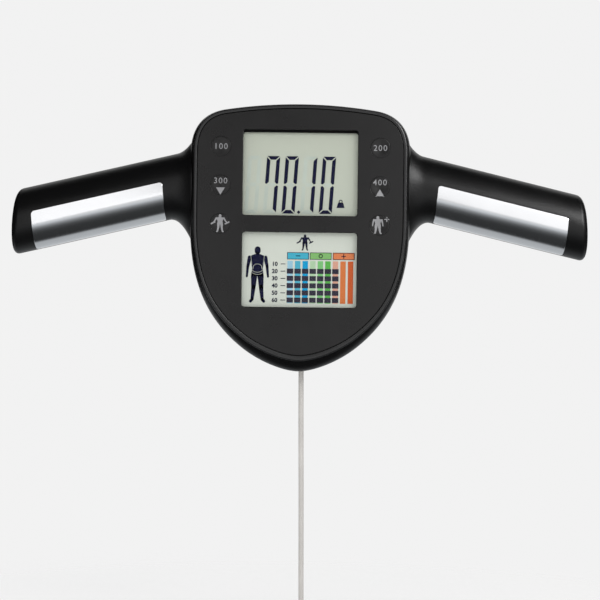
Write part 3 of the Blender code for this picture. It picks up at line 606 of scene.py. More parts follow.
def soften(shape: Shape, edges: Sequence[bmesh.types.BMEdge], reach: float, segments: int = 2) -> None:
    """Rounds edges of a shape.

    Args:
        shape: The shape.
        edges: Which of its edges.
        reach: How far the rounding goes.
        segments: How many faces it has across.
    """
    bmesh.ops.bevel(
        shape, geom=list(edges), offset=reach, segments=segments, profile=0.5, affect="EDGES", material=-1
    )


def rounded_rectangle(
    width: float, height: float, corner: float, y: float, middle: Vector, steps: int = 8
) -> Ring:
    """A rectangle's outline at a depth, with round corners.

    Args:
        width: Its size along X.
        height: Its size along Z.
        corner: Its corners' radius.
        y: Its depth.
        middle: The X and Z of its middle, as a two-part vector.
        steps: How many points each corner has, less one.

    Returns:
        The ring.
    """
    ring = []
    for turn, (across, up) in enumerate(((1, 1), (-1, 1), (-1, -1), (1, -1))):
        for step in range(steps + 1):
            angle = math.pi / 2 * (turn + step / steps)
            x = across * (width / 2 - corner) + corner * math.cos(angle)
            z = up * (height / 2 - corner) + corner * math.sin(angle)
            ring.append(Vector((middle.x + x, y, middle.y + z)))
    return ring


def circle(radius: float, y: float, middle: Vector, steps: int) -> Ring:
    """A circle's outline at a depth.

    Args:
        radius: Its radius.
        y: Its depth.
        middle: The X and Z of its middle, as a two-part vector.
        steps: How many points it has.

    Returns:
        The ring.
    """
    angles = (math.tau * step / steps for step in range(steps))
    return [Vector((middle.x + radius * math.cos(a), y, middle.y + radius * math.sin(a))) for a in angles]


def flared(outline: Callable[[float, float], Ring], front: float, back: float, flare: float) -> Shape:
    """A cutter whose front end opens out, so that it leaves a softened edge.

    Args:
        outline: Gives the outline for a growth and a depth.
        front: The Y of the surface that it cuts into.
        back: The Y where it ends.
        flare: How far the edge is softened.

    Returns:
        The closed cutter.
    """
    half = flare * (1 - math.cos(math.pi / 4))
    return loft(
        [
            outline(flare + OVERRUN, front - OVERRUN),
            outline(flare, front),
            outline(half, front + half),
            outline(0.0, front + flare),
            outline(0.0, back),
        ]
    )


def add_piece(
    name: str, shape: Shape, finish: Finish, body: str = UNIT_BODY, sharp: float = SHARP_ANGLE
) -> Object:
    """Makes a shape, which is used up, a piece of the scene, as dress_mesh does with a mesh."""
    return dress_mesh(name, mesh_of(name, shape), finish, body, sharp)


def dress_mesh(name: str, mesh: bpy.types.Mesh, finish: Finish, body: str, sharp: float) -> Object:
    """Makes a mesh a piece of the scene, smooth but for its sharp edges and round its large flat faces.

    Args:
        name: The piece's name.
        mesh: Its mesh.
        finish: Its finish.
        body: The body that it rides on.
        sharp: The angle from which its edges look sharp.

    Returns:
        The piece.
    """
    mesh.shade_smooth()
    mesh.set_sharp_from_angle(angle=sharp)
    shape = bmesh.new()
    shape.from_mesh(mesh)
    for face in shape.faces:
        if face.calc_area() > FLAT_AREA:
            for edge in face.edges:
                edge.smooth = False
    shape.to_mesh(mesh)
    shape.free()
    mesh.materials.clear()
    mesh.materials.append(finish.material())
    piece = put(name, mesh)
    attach(piece, body)
    return piece


class Carving:
    """A solid that other shapes are joined to and cut from.

    One that isn't finished is worked out again each time that another one is, so it is finished first.
    """

    def __init__(self, name: str, shape: Shape) -> None:
        """Starts from one shape.

        Args:
            name: What the finished piece is called.
            shape: The first shape, which is used up.
        """
        self.name = name
        self.helpers: list[Object] = []
        self.solid = self.helper(shape)

    def helper(self, shape: Shape) -> Object:
        """Makes a shape an object that is only there to be combined.

        Args:
            shape: The shape, which is used up.

        Returns:
            The object.
        """
        mesh = mesh_of(f"{self.name}_helper", shape)
        made = put(mesh.name, mesh)
        self.helpers.append(made)
        return made

    def apply(self, operation: Operation, *shapes: Shape) -> None:
        """Combines shapes with the solid, in order.

        Args:
            operation: Whether they are joined or cut.
            shapes: The shapes, which are used up.
        """
        for shape in shapes:
            modifier = self.solid.modifiers.new("combine", "BOOLEAN")
            modifier.operation = operation.value
            modifier.solver = "EXACT"
            modifier.object = self.helper(shape)

    def finish(self, finish: Finish, sharp: float = SHARP_ANGLE) -> Object:
        """Works the combinations out and makes the piece.

        Args:
            finish: The piece's finish.
            sharp: The angle from which its edges look sharp.

        Returns:
            The piece.
        """
        graph = bpy.context.evaluated_depsgraph_get()
        graph.update()
        mesh = bpy.data.meshes.new_from_object(self.solid.evaluated_get(graph))
        mesh.name = self.name
        for made in self.helpers:
            used = made.data
            bpy.data.objects.remove(made)
            bpy.data.meshes.remove(used)
        return dress_mesh(self.name, mesh, finish, UNIT_BODY, sharp)


# The head's and the grips' forms


@dataclass(frozen=True)
class HeadForm:
    """The shield-shaped head: its outline, its depth on each side of the seam, and its rounded rims.

    The outline's shares are of the half width, and of the top's or the chin's height. Insets are how far the
    rims are rounded in at the top, the sides and the chin. The front rim turns through front_turn only, and
    meets the ring round the face there.
    """

    half_width: float = 0.0628
    top: float = 0.0573
    chin: float = 0.0954
    spans: tuple = (
        ((0.0, 1.0), (0.23, 1.0), (0.46, 0.98), (0.69, 0.94)),
        ((0.69, 0.94), (0.875, 0.905), (1.0, 0.775), (1.0, 0.51)),
        ((1.0, 0.51), (1.0, 0.30), (1.0, 0.09), (1.0, -0.11)),
        ((1.0, -0.11), (1.0, -0.459), (0.847, -0.689), (0.518, -0.86)),
        ((0.518, -0.86), (0.346, -0.949), (0.127, -1.0), (0.0, -1.0)),
    )
    span_steps: tuple[int, ...] = (14, 22, 8, 26, 18)
    front: float = 0.0222
    back: float = 0.0190
    front_rim_depth: float = 0.0082
    back_rim_depth: float = 0.0110
    front_round: tuple[float, float, float] = (0.0010, 0.0021, 0.0062)
    back_round: tuple[float, float, float] = (0.0060, 0.0060, 0.0060)
    front_turn: float = math.radians(62)
    round_steps: int = 12
    wall: float = 0.0022
    past_seam: float = 0.0025

    def outline(self) -> list[Vector]:
        """The outline in X and Z, clockwise from the middle of the top edge.

        Returns:
            Two-part vectors.
        """
        half: list[Vector] = []
        for span, steps in zip(self.spans, self.span_steps):
            corners = [
                Vector((x * self.half_width, z * (self.top if z > 0 else self.chin))) for x, z in span
            ]
            half += interpolate_bezier(*corners, steps + 1)[:-1]
        half.append(Vector((0.0, -self.chin)))
        return half + [Vector((-point.x, point.y)) for point in reversed(half[1:-1])]

    def ring(self, y: float, insets: Sequence[float] = (0.0, 0.0, 0.0), more: float = 0.0) -> Ring:
        """The outline at a depth, drawn in.

        Args:
            y: Its depth.
            insets: How far it is drawn in at the top, the sides and the chin.
            more: How much further it is drawn in all round.

        Returns:
            The ring.
        """
        top, side, chin = insets
        loop = self.outline()
        ring = []
        for index, point in enumerate(loop):
            along = loop[(index + 1) % len(loop)] - loop[index - 1]
            outward = Vector((-along.y, along.x)).normalized()
            end = top if outward.y > 0 else chin
            inset = side + (end - side) * outward.y**2 + more
            ring.append(Vector((point.x - outward.x * inset, y, point.y - outward.y * inset)))
        return ring

    def limits(self, facing: Facing) -> tuple[float, float, tuple[float, float, float]]:
        """How far a half reaches from the seam, how deep its rounded rim is, and the rim's insets."""
        if facing is Facing.FRONT:
            return self.front, self.front_rim_depth, self.front_round
        return self.back, self.back_rim_depth, self.back_round

    def half(self, facing: Facing) -> list[Ring]:
        """The rings of one half, from past the seam to its rounded rim.

        Args:
            facing: Which half.

        Returns:
            The rings.
        """
        end, depth, rounding = self.limits(facing)
        sign = facing.value
        rings = [self.ring(-sign * self.past_seam), self.ring(sign * (end - depth))]
        turn = self.front_turn if facing is Facing.FRONT else math.pi / 2
        for step in range(1, self.round_steps + 1):
            angle = turn * step / self.round_steps
            insets = [inset * (1 - math.cos(angle)) / (1 - math.cos(turn)) for inset in rounding]
            rings.append(self.ring(sign * (end - depth + depth * math.sin(angle) / math.sin(turn)), insets))
        return rings

    def hollow(self, facing: Facing, past: float, grow: float = 0.0) -> list[Ring]:
        """The rings of the hollow inside one half.

        Args:
            facing: Which half.
            past: How far they run past the seam.
            grow: How much wider they are all round.

        Returns:
            The rings.
        """
        end, depth, rounding = self.limits(facing)
        near = [self.wall + inset - grow for inset in self.front_round]
        far = [self.wall + inset - grow for inset in rounding]
        sign = facing.value
        return [
            self.ring(-sign * past, near),
            self.ring(sign * (end - depth), near),
            self.ring(sign * (end - self.wall), far),
        ]


@dataclass(frozen=True)
class GripForm:
    """A round grip whose axis droops away from the head, with the neck that joins them.

    Places along it are counted from the head's side.
    """

    head: HeadForm
    radius: float = 0.0182
    wall: float = 0.0036
    middle_out: float = 0.0538
    length: float = 0.1022
    root_in: float = 0.0148
    droop: float = math.radians(13.36)
    end_round: float = 0.0042
    end_lean: float = math.radians(16.4)
    end_flat_share: float = 0.52
    end_power: float = 0.58
    end_steps: int = 12
    spread_top: float = 0.0049
    spread_bottom: float = 0.0146
    spread_depth: float = 0.0018
    neck_top: float = 0.0085
    neck_bottom: float = 0.0128
    neck_start_share: float = -0.04
    neck_power: float = 1.3
    neck_steps: int = 16
    hollow_share: float = 0.5
    steps: int = 44
    past_seam: float = 0.0020
    electrode_start: float = 0.0157
    electrode_end_margin: float = 0.0116
    electrode_lean: float = math.radians(8.9)

    def matrix(self, side: Side) -> Matrix:
        """The matrix from a grip's own axes, which run outwards, to the back and up, to the part's."""
        place = Matrix.Translation((self.head.half_width + self.middle_out, 0, 0))
        return Matrix.Diagonal((side.value, 1, 1, 1)) @ place @ Matrix.Rotation(self.droop, 4, "Y")

    def along(self, out: float) -> float:
        """How far along the axis from the grip's middle a place lies, from how far out of the head it is."""
        return (out - self.middle_out) / math.cos(self.droop)

    def ring(
        self,
        side: Side,
        facing: Facing,
        out: float,
        lean: float,
        radius: float,
        past: float,
        spread: Sequence[float] = (0.0, 0.0, 0.0),
        push: float = 0.0,
    ) -> Ring:
        """Half of a section, run past the seam.

        Args:
            side: Which grip.
            facing: Which half.
            out: How far out of the head it is, on the axis.
            lean: How far it leans from square to the axis.
            radius: Its radius.
            past: How far it runs past the seam.
            spread: How much it is larger at its top, bottom and depth.
            push: How far it is moved outwards along the axis.

        Returns:
            The ring.
        """
        matrix = self.matrix(side)
        top, bottom, depth = spread
        ring = []
        for step in range(-1, self.steps + 2):
            angle = math.pi * min(max(step, 0), self.steps) / self.steps
            height = math.cos(angle) * (radius + (top if math.cos(angle) > 0 else bottom))
            y = (radius + depth) * math.sin(angle) if 0 <= step <= self.steps else -past
            outward = self.along(out) - height * math.tan(lean) + push
            ring.append(matrix @ Vector((outward, facing.value * y, height)))
        return ring

    def neck(
        self, side: Side, facing: Facing, radius: float, past: float, share: float, root_in: float
    ) -> list[Ring]:
        """Sections of the neck, from inside the head to where the plain grip starts.

        Args:
            side: Which grip.
            facing: Which half.
            radius: The plain grip's radius.
            past: How far they run past the seam.
            share: How much of the neck's spread they have.
            root_in: How far inside the head they start.

        Returns:
            The rings.
        """
        first, steps = self.neck_start_share, self.neck_steps
        shares = [first + (1 - first) * (step / steps) ** self.neck_power for step in range(steps + 1)]
        rings = []
        for place, station in enumerate((first, *shares)):
            out = station * self.neck_bottom
            near = max(0.0, 1 - out / self.neck_top) ** 2
            depth = self.spread_depth * near if facing is Facing.FRONT else 0.0
            bottom = self.spread_bottom * (1 - out / self.neck_bottom) ** 2
            spread = [share * value for value in (self.spread_top * near, bottom, depth)]
            where = out if place else -root_in
            rings.append(self.ring(side, facing, where, self.droop, radius, past, spread))
        return rings

    def half(self, side: Side, facing: Facing) -> list[Ring]:
        """The rings of half a neck and grip, with its rounded outer end.

        Args:
            side: Which grip.
            facing: Which half.

        Returns:
            The rings.
        """
        past = self.past_seam
        rings = self.neck(side, facing, self.radius, past, 1.0, self.root_in)
        rings.append(self.ring(side, facing, self.electrode_start, self.electrode_lean, self.radius, past))
        for step in range(self.end_steps + 1):
            angle = math.pi / 2 * step / self.end_steps
            share = self.end_flat_share + (1 - self.end_flat_share) * math.cos(angle) ** self.end_power
            push = -(1 - math.sin(angle)) * self.end_round
            radius = share * self.radius
            rings.append(self.ring(side, facing, self.length, self.end_lean, radius, past, push=push))
        return rings

    def hollow(self, side: Side, facing: Facing, past: float, grow: float = 0.0) -> list[Ring]:
        """The rings of the hollow of half a neck and grip.

        Args:
            side: Which grip.
            facing: Which half.
            past: How far they run past the seam.
            grow: How much wider and longer they are.

        Returns:
            The rings.
        """
        radius = self.radius - self.wall + grow
        rings = self.neck(side, facing, radius, past, self.hollow_share, self.root_in + OVERRUN)
        end = self.length - self.end_round - self.head.wall + grow
        rings.append(self.ring(side, facing, end, self.end_lean, radius, past))
        return rings


# The scene's camera and light


@dataclass(frozen=True)
class PhotoCamera:
    """The camera straight in front of the unit, rolled a little."""

    place: Vector = field(default_factory=lambda: Vector((0.000665, -1.05, -0.0545)))
    roll: float = math.radians(-0.7)
    lens: float = 108.6
    sensor: float = 36.0
    nearest: float = 0.05

    def build(self) -> None:
        """Makes the camera the scene's own."""
        data = bpy.data.cameras.new("photo_camera")
        data.lens = self.lens
        data.sensor_width = self.sensor
        data.clip_start = self.nearest
        camera = put("photo_camera", data)
        camera.location = self.place
        camera.rotation_euler = (math.pi / 2, self.roll, 0.0)
        bpy.context.scene.camera = camera


@dataclass(frozen=True)
class Lamp:
    """A soft rectangular lamp aimed at a point, by its face's brightness and how far it leans to a side.

    One that is only for gloss shows in reflections and gives no other light.
    """

    name: str
    place: Triple
    aim: Triple
    width: float
    height: float
    brightness: float
    lean: float = 0.0
    gloss_only: bool = False

    def build(self) -> None:
        """Adds the lamp, hidden from the camera."""
        data = bpy.data.lights.new(self.name, "AREA")
        data.shape = "RECTANGLE"
        data.size, data.size_y = self.width, self.height
        data.energy = self.brightness * math.pi * self.width * self.height
        lamp = put(self.name, data)
        lamp.location = self.place
        away = Vector(self.place) - Vector(self.aim)
        turn = away.to_track_quat("Z", "Y").to_matrix() @ Matrix.Rotation(self.lean, 3, "Z")
        lamp.rotation_euler = turn.to_euler()
        lamp.visible_camera = False
        lamp.visible_diffuse = not self.gloss_only


@dataclass(frozen=True)
class Flag:
    """A card at the side of the set, seen only in reflections, whose brightness may change along its height.

    Each tone is a share of the height and the brightness there.
    """

    name: str
    place: Triple
    turn: Triple
    width: float
    height: float
    tones: tuple[tuple[float, float], ...] = ((0.0, 0.012), (1.0, 0.012))
    tint: Colour = (1.0, 1.0, 1.0)

    def build(self) -> None:
        """Adds the card."""
        shape = bmesh.new()
        bmesh.ops.create_grid(shape, x_segments=1, y_segments=1, size=0.5)
        scale = Matrix.Diagonal((self.width, self.height, 1.0, 1.0))
        bmesh.ops.transform(shape, matrix=scale, verts=shape.verts)
        mesh = mesh_of(self.name, shape)
        mesh.materials.append(self.material())
        card = put(self.name, mesh)
        card.location = self.place
        card.rotation_euler = self.turn
        card.visible_camera = False
        card.visible_diffuse = False
        card.visible_shadow = False
        card.visible_transmission = False
        card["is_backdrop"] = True

    def material(self) -> Material:
        """Makes the card's tones.

        Returns:
            The material.
        """
        dark = {"Base Color": BLACK, "Specular IOR Level": 0.0, "Emission Strength": 1.0}
        made, shader = new_material(self.name, dark)
        tree = made.node_tree
        height = add_node(tree, "SeparateXYZ", {"Vector": own_coordinates(tree)}).outputs["Y"]
        share = map_range(tree, height, (-self.height / 2, self.height / 2))
        stops = [(place, [tone * channel for channel in self.tint]) for place, tone in self.tones]
        feed(shader, {"Emission Color": colour_ramp(tree, share, stops)})
        return made


# The tones of the card below, from its front edge to the one behind the unit.
LOW_TONES = (
    (0.0, 0.85),
    (0.10, 0.75),
    (0.19, 0.32),
    (0.28, 0.10),
    (0.36, 0.045),
    (0.50, 0.035),
    (0.525, 0.06),
    (0.56, 0.52),
    (1.0, 0.70),
)
# The tones of the card in front, from the left to the edge that is straight before the unit.
FRONT_TONES = ((0.0, 0.012), (0.80, 0.012), (1.0, 0.60))


@dataclass(frozen=True)
class Studio:
    """A pale room with a backdrop and a floor, dark cards at its sides, and its lamps."""

    backdrop: float = 0.887
    room: float = 0.88
    floor_colour: float = 0.80
    floor_glow: float = 0.14
    floor_drop: float = 0.0010
    floor_radius: float = 0.60
    floor_sides: int = 96
    floor_roughness: float = 0.9
    fade_start: float = 0.20
    fade_end: float = 0.44
    flags: tuple[Flag, ...] = (
        Flag("low_card", (0.0, 0.0, -0.2548), (0.0, 0.0, 0.0), 1.10, 1.00, LOW_TONES, (0.93, 0.97, 1.0)),
        Flag("left_flag", (-0.56, 0.13, 0.17), (0.0, math.pi / 2, 0.0), 0.86, 2.10),
        Flag("right_flag", (0.56, 0.10, 0.17), (0.0, math.pi / 2, 0.0), 0.86, 1.20),
        Flag("top_flag", (0.0, -0.25, 0.60), (0.0, 0.0, 0.0), 1.12, 1.50),
        Flag("front_flag", (-0.40, -1.30, 0.0), (math.pi / 2, math.pi / 2, 0.0), 1.20, 0.90, FRONT_TONES),
    )
    lamps: tuple[Lamp, ...] = (
        Lamp("key_lamp", (0.54, -0.82, 0.42), (0.0, 0.0, 0.0), 0.34, 0.34, 6.0),
        Lamp("side_lamp", (0.52, -0.28, 0.25), (0.0, 0.0, 0.0), 0.42, 0.30, 10.0, gloss_only=True),
        Lamp("left_strip", (-0.265, -0.95, 0.01), (-0.12, 0.0, 0.0), 0.30, 0.94, 1.36, math.radians(13.4)),
        Lamp("right_strip", (0.26, -0.95, 0.01), (0.12, 0.0, 0.0), 0.34, 0.94, 0.42, math.radians(-13.4)),
    )

    def build(self) -> None:
        """Makes the world, the floor, the dark cards and the lamps."""
        bpy.context.scene.view_settings.view_transform = "Standard"
        self.build_world()
        self.build_floor()
        for item in (*self.flags, *self.lamps):
            item.build()

    def pale_rays(self, tree: Tree) -> Socket:
        """Tells the rays that the background's own brightness is for from those that light the unit.

        Args:
            tree: The nodes of the world or of the floor's material.

        Returns:
            A socket that is 1 for camera, glossy and transmission rays, and otherwise 0.
        """
        path = add_node(tree, "LightPath", {})
        seen = path.outputs["Is Camera Ray"]
        for kind in ("Is Glossy Ray", "Is Transmission Ray"):
            seen = add_node(tree, "Math", {0: seen, 1: path.outputs[kind]}, "MAXIMUM").outputs["Value"]
        return seen

    def strength(self, tree: Tree, otherwise: float, pale: float) -> Socket:
        """A strength for the pale rays, and another one for those that light the unit."""
        return map_range(tree, self.pale_rays(tree), result=(otherwise, pale))

    def build_world(self) -> None:
        """Shows the backdrop to the camera and to reflections, and lights with a dimmer room."""
        world = bpy.data.worlds.new("studio")
        bpy.context.scene.world = world
        world.use_nodes = True
        strength = self.strength(world.node_tree, self.room, self.backdrop)
        feed(world.node_tree.nodes["Background"], {"Color": WHITE, "Strength": strength})

    def build_floor(self) -> None:
        """Lays the round floor, which fades into the backdrop, and keeps the unit's shadow."""
        shape = bmesh.new()
        place = Matrix.Translation((0, 0, CAD_BOX[0][2] - self.floor_drop))
        bmesh.ops.create_circle(
            shape, cap_ends=True, segments=self.floor_sides, radius=self.floor_radius, matrix=place
        )
        mesh = mesh_of("floor", shape)
        paper = {
            "Base Color": (*(self.floor_colour,) * 3, 1.0),
            "Roughness": self.floor_roughness,
            "Specular IOR Level": 0.0,
            "Emission Color": WHITE,
        }
        made, shader = new_material("floor_paper", paper)
        tree = made.node_tree
        level = {0: own_coordinates(tree), 1: (1.0, 1.0, 0.0)}
        flat = add_node(tree, "VectorMath", level, "MULTIPLY").outputs["Vector"]
        out = add_node(tree, "VectorMath", {0: flat}, "LENGTH").outputs["Value"]
        fade = map_range(tree, out, (self.fade_start, self.fade_end), (1.0, 0.0), "SMOOTHSTEP")
        feed(shader, {"Emission Strength": self.strength(tree, 0.0, self.floor_glow), "Alpha": fade})
        mesh.materials.append(made)
        put("floor", mesh)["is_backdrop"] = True


# The cord


@dataclass(frozen=True)
class Cord:
    """The thin cord that runs straight down from the chin, with its grommet and its plug.

    A rib's shares are how far along it a point lies, and how deep the groove is there.
    """

    radius: float = 0.0015
    x: float = 0.0018
    route: tuple = (
        (0.0016, 0.0, -0.0750),
        (0.0018, 0.0, -0.0954),
        (0.0021, 0.0, -0.1250),
        (0.0026, 0.0, -0.1610),
        (0.0030, 0.0, -0.1970),
        (0.0034, 0.0, -0.2320),
    )
    exit: Triple = (0.0018, 0.0, -0.0954)
    route_steps: int = 5
    round_steps: int = 6
    gap: float = 0.0003
    plug_radius: float = 0.0045
    plug_body: float = 0.0150
    plug_taper: float = 0.0060
    plug_neck: float = 0.0026
    nose_radius: float = 0.0025
    nose: float = 0.0045
    plug_edge: float = 0.0006
    rib_depth: float = 0.0003
    ribs: int = 6
    rib_share: float = 0.62
    rib_shares: tuple[tuple[float, float], ...] = ((0.0, 0.0), (0.2, 1.0), (0.5, 1.0), (0.7, 0.0))
    plug_sides: int = 48
    grommet_radius: float = 0.0034
    grommet_gap: float = 0.0001
    grommet_lip: float = 0.0005
    grommet_flange: float = 0.0016
    grommet_sides: int = 40
    handle_divisor: int = 6

    def smooth_route(self) -> Ring:
        """Points along a smooth curve through the route's.

        Returns:
            The points.
        """
        points = [Vector(point) for point in self.route]
        ends = [2 * points[0] - points[1], *points, 2 * points[-1] - points[-2]]
        route = []
        for before, start, end, after in zip(ends, ends[1:], ends[2:], ends[3:]):
            handle = (end - before) / self.handle_divisor
            other = (after - start) / self.handle_divisor
            route += interpolate_bezier(start, start + handle, end - other, end, self.route_steps + 1)[:-1]
        return [*route, points[-1]]

    def build(self) -> None:
        plug = self.build_plug()
        grommet = self.build_grommet()
        curve = bpy.data.curves.new("cord_line", "CURVE")
        curve.dimensions = "3D"
        curve.bevel_depth = self.radius
        curve.bevel_resolution = self.round_steps
        curve.use_fill_caps = True
        route = self.smooth_route()
        spline = curve.splines.new("POLY")
        spline.points.add(len(route) - 1)
        for place, point in zip(spline.points, route):
            place.co = (*point, 1.0)
        curve.materials.append(CORD_GREY.material())
        cord = put("cord_line", curve)
        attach(cord, UNIT_BODY)
        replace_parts(cord, "cord")
        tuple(self.exit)

    def build_plug(self) -> Object:
        """Turns the plug, with ribs round its body.

        Returns:
            The plug.
        """
        body_top, body_end = -self.plug_taper, -self.plug_taper - self.plug_body
        edge = self.plug_edge
        profile = [(0.0, 0.0), (self.plug_neck - edge, 0.0), (self.plug_neck, -edge)]
        profile += [(self.plug_radius - edge, body_top), (self.plug_radius, body_top - edge)]
        pitch = self.plug_body * self.rib_share / self.ribs
        for rib in range(self.ribs):
            start = body_top - 2 * edge - rib * pitch
            for share, sunk in self.rib_shares:
                profile.append((self.plug_radius - sunk * self.rib_depth, start - share * pitch))
        profile += [
            (self.plug_radius, body_end + edge),
            (self.plug_radius - edge, body_end),
            (self.nose_radius, body_end),
            (self.nose_radius, body_end - self.nose + edge),
            (self.nose_radius - edge, body_end - self.nose),
            (0.0, body_end - self.nose),
        ]
        end = Vector(self.route[-1]) - Vector((0, 0, self.gap))
        plug = add_piece("plug_body", turned(profile, self.plug_sides, Matrix.Translation(end)), CORD_GREY)
        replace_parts(plug, "cord_plug")
        return plug

    def build_grommet(self) -> Object:
        """Turns the grommet to the size of its node.

        Returns:
            The grommet.
        """
        low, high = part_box("cord_grommet")
        flange = (high.x - low.x) / 2
        outer, inner = self.grommet_radius, self.radius + self.grommet_gap
        lip, flange_depth = self.grommet_lip, self.grommet_flange
        profile = [
            (inner, high.z),
            (flange, high.z),
            (flange, high.z - flange_depth),
            (outer, high.z - flange_depth),
            (outer, low.z + lip),
            (outer - lip, low.z),
            (inner + lip, low.z),
            (inner, low.z + lip),
        ]
        angles = [math.tau * step / self.grommet_sides for step in range(self.grommet_sides)]
        rings = [
            [Vector((self.x + radius * math.cos(a), radius * math.sin(a), z)) for a in angles]
            for radius, z in profile
        ]
        grommet = add_piece("chin_grommet", loft(rings, cyclic=True), BLACK_RUBBER)
        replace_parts(grommet, "cord_grommet")
        return grommet


# The housing


@dataclass(frozen=True)
class Electrodes:
    """The four curved steel plates let into the grips."""

    grip: GripForm
    thickness: float = 0.0009
    gap: float = 0.0003
    corner: float = 0.0020
    corner_steps: int = 8
    arc_steps: int = 44
    edge: float = 0.00022
    front_arc: tuple[float, float] = (math.radians(9.5), math.radians(-84.0))
    rear_arc: tuple[float, float] = (math.radians(215.0), math.radians(100.0))

    def arc(self, facing: Facing) -> tuple[float, float]:
        """Where round the grip a half's plate starts and ends, from the grip's front line, up positive."""
        return self.front_arc if facing is Facing.FRONT else self.rear_arc

    def rings(self, side: Side, facing: Facing, inner: float, outer: float, margin: float) -> list[Ring]:
        """Four-cornered sections of a plate, from one of its long edges to the other.

        Args:
            side: Which grip.
            facing: Which half of it.
            inner: The radius of its inner face.
            outer: The radius of its outer face.
            margin: How much larger than the plate it is.

        Returns:
            The rings.
        """
        matrix = self.grip.matrix(side)
        start, end = self.arc(facing)
        spare = margin / self.grip.radius
        start, end = start + spare, end - spare
        corner = self.corner + margin
        turn = corner / self.grip.radius
        steps = self.corner_steps
        edge = [turn * (1 - math.cos(math.pi / 2 * step / steps)) for step in range(steps + 1)]
        span = start - end - 2 * turn
        middle = [turn + span * step / self.arc_steps for step in range(1, self.arc_steps)]
        drops = edge + middle + [start - end - drop for drop in reversed(edge)]
        near = self.grip.along(self.grip.electrode_start) - margin
        far = self.grip.along(self.grip.length - self.grip.electrode_end_margin) + margin
        rings = []
        for drop in drops:
            angle = start - drop
            into = max(0.0, 1 - min(drop, start - end - drop) / turn)
            draw = corner * (1 - math.sqrt(1 - into**2))
            ring = []
            for radius, outward in (
                (inner, near + draw),
                (outer, near + draw),
                (outer, far - draw),
                (inner, far - draw),
            ):
                height = radius * math.sin(angle)
                leaning = outward - height * math.tan(self.grip.electrode_lean)
                ring.append(matrix @ Vector((leaning, -radius * math.cos(angle), height)))
            rings.append(ring)
        return rings

    def recess(self, side: Side, facing: Facing) -> Shape:
        """The cutter for a plate's recess in the housing."""
        floor = self.grip.radius - self.thickness - self.gap
        return loft(self.rings(side, facing, floor, self.grip.radius + OVERRUN, self.gap / 2))

    def build(self) -> None:
        """Makes the four plates, with softened edges."""
        names = {Facing.FRONT: "front", Facing.REAR: "rear"}
        for side in Side:
            for facing, place in names.items():
                radius = self.grip.radius
                shape = loft(self.rings(side, facing, radius - self.thickness, radius, 0.0))
                sharp = [edge for edge in shape.edges if edge.calc_face_angle(0.0) > math.pi / 4]
                soften(shape, sharp, self.edge)
                finish = steel(side, self.grip.droop)
                plate = add_piece(f"{side.label}_{place}_plate", shape, finish, sharp=FLAT_SHARP_ANGLE)
                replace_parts(plate, f"{side.label}_{place}_electrode")


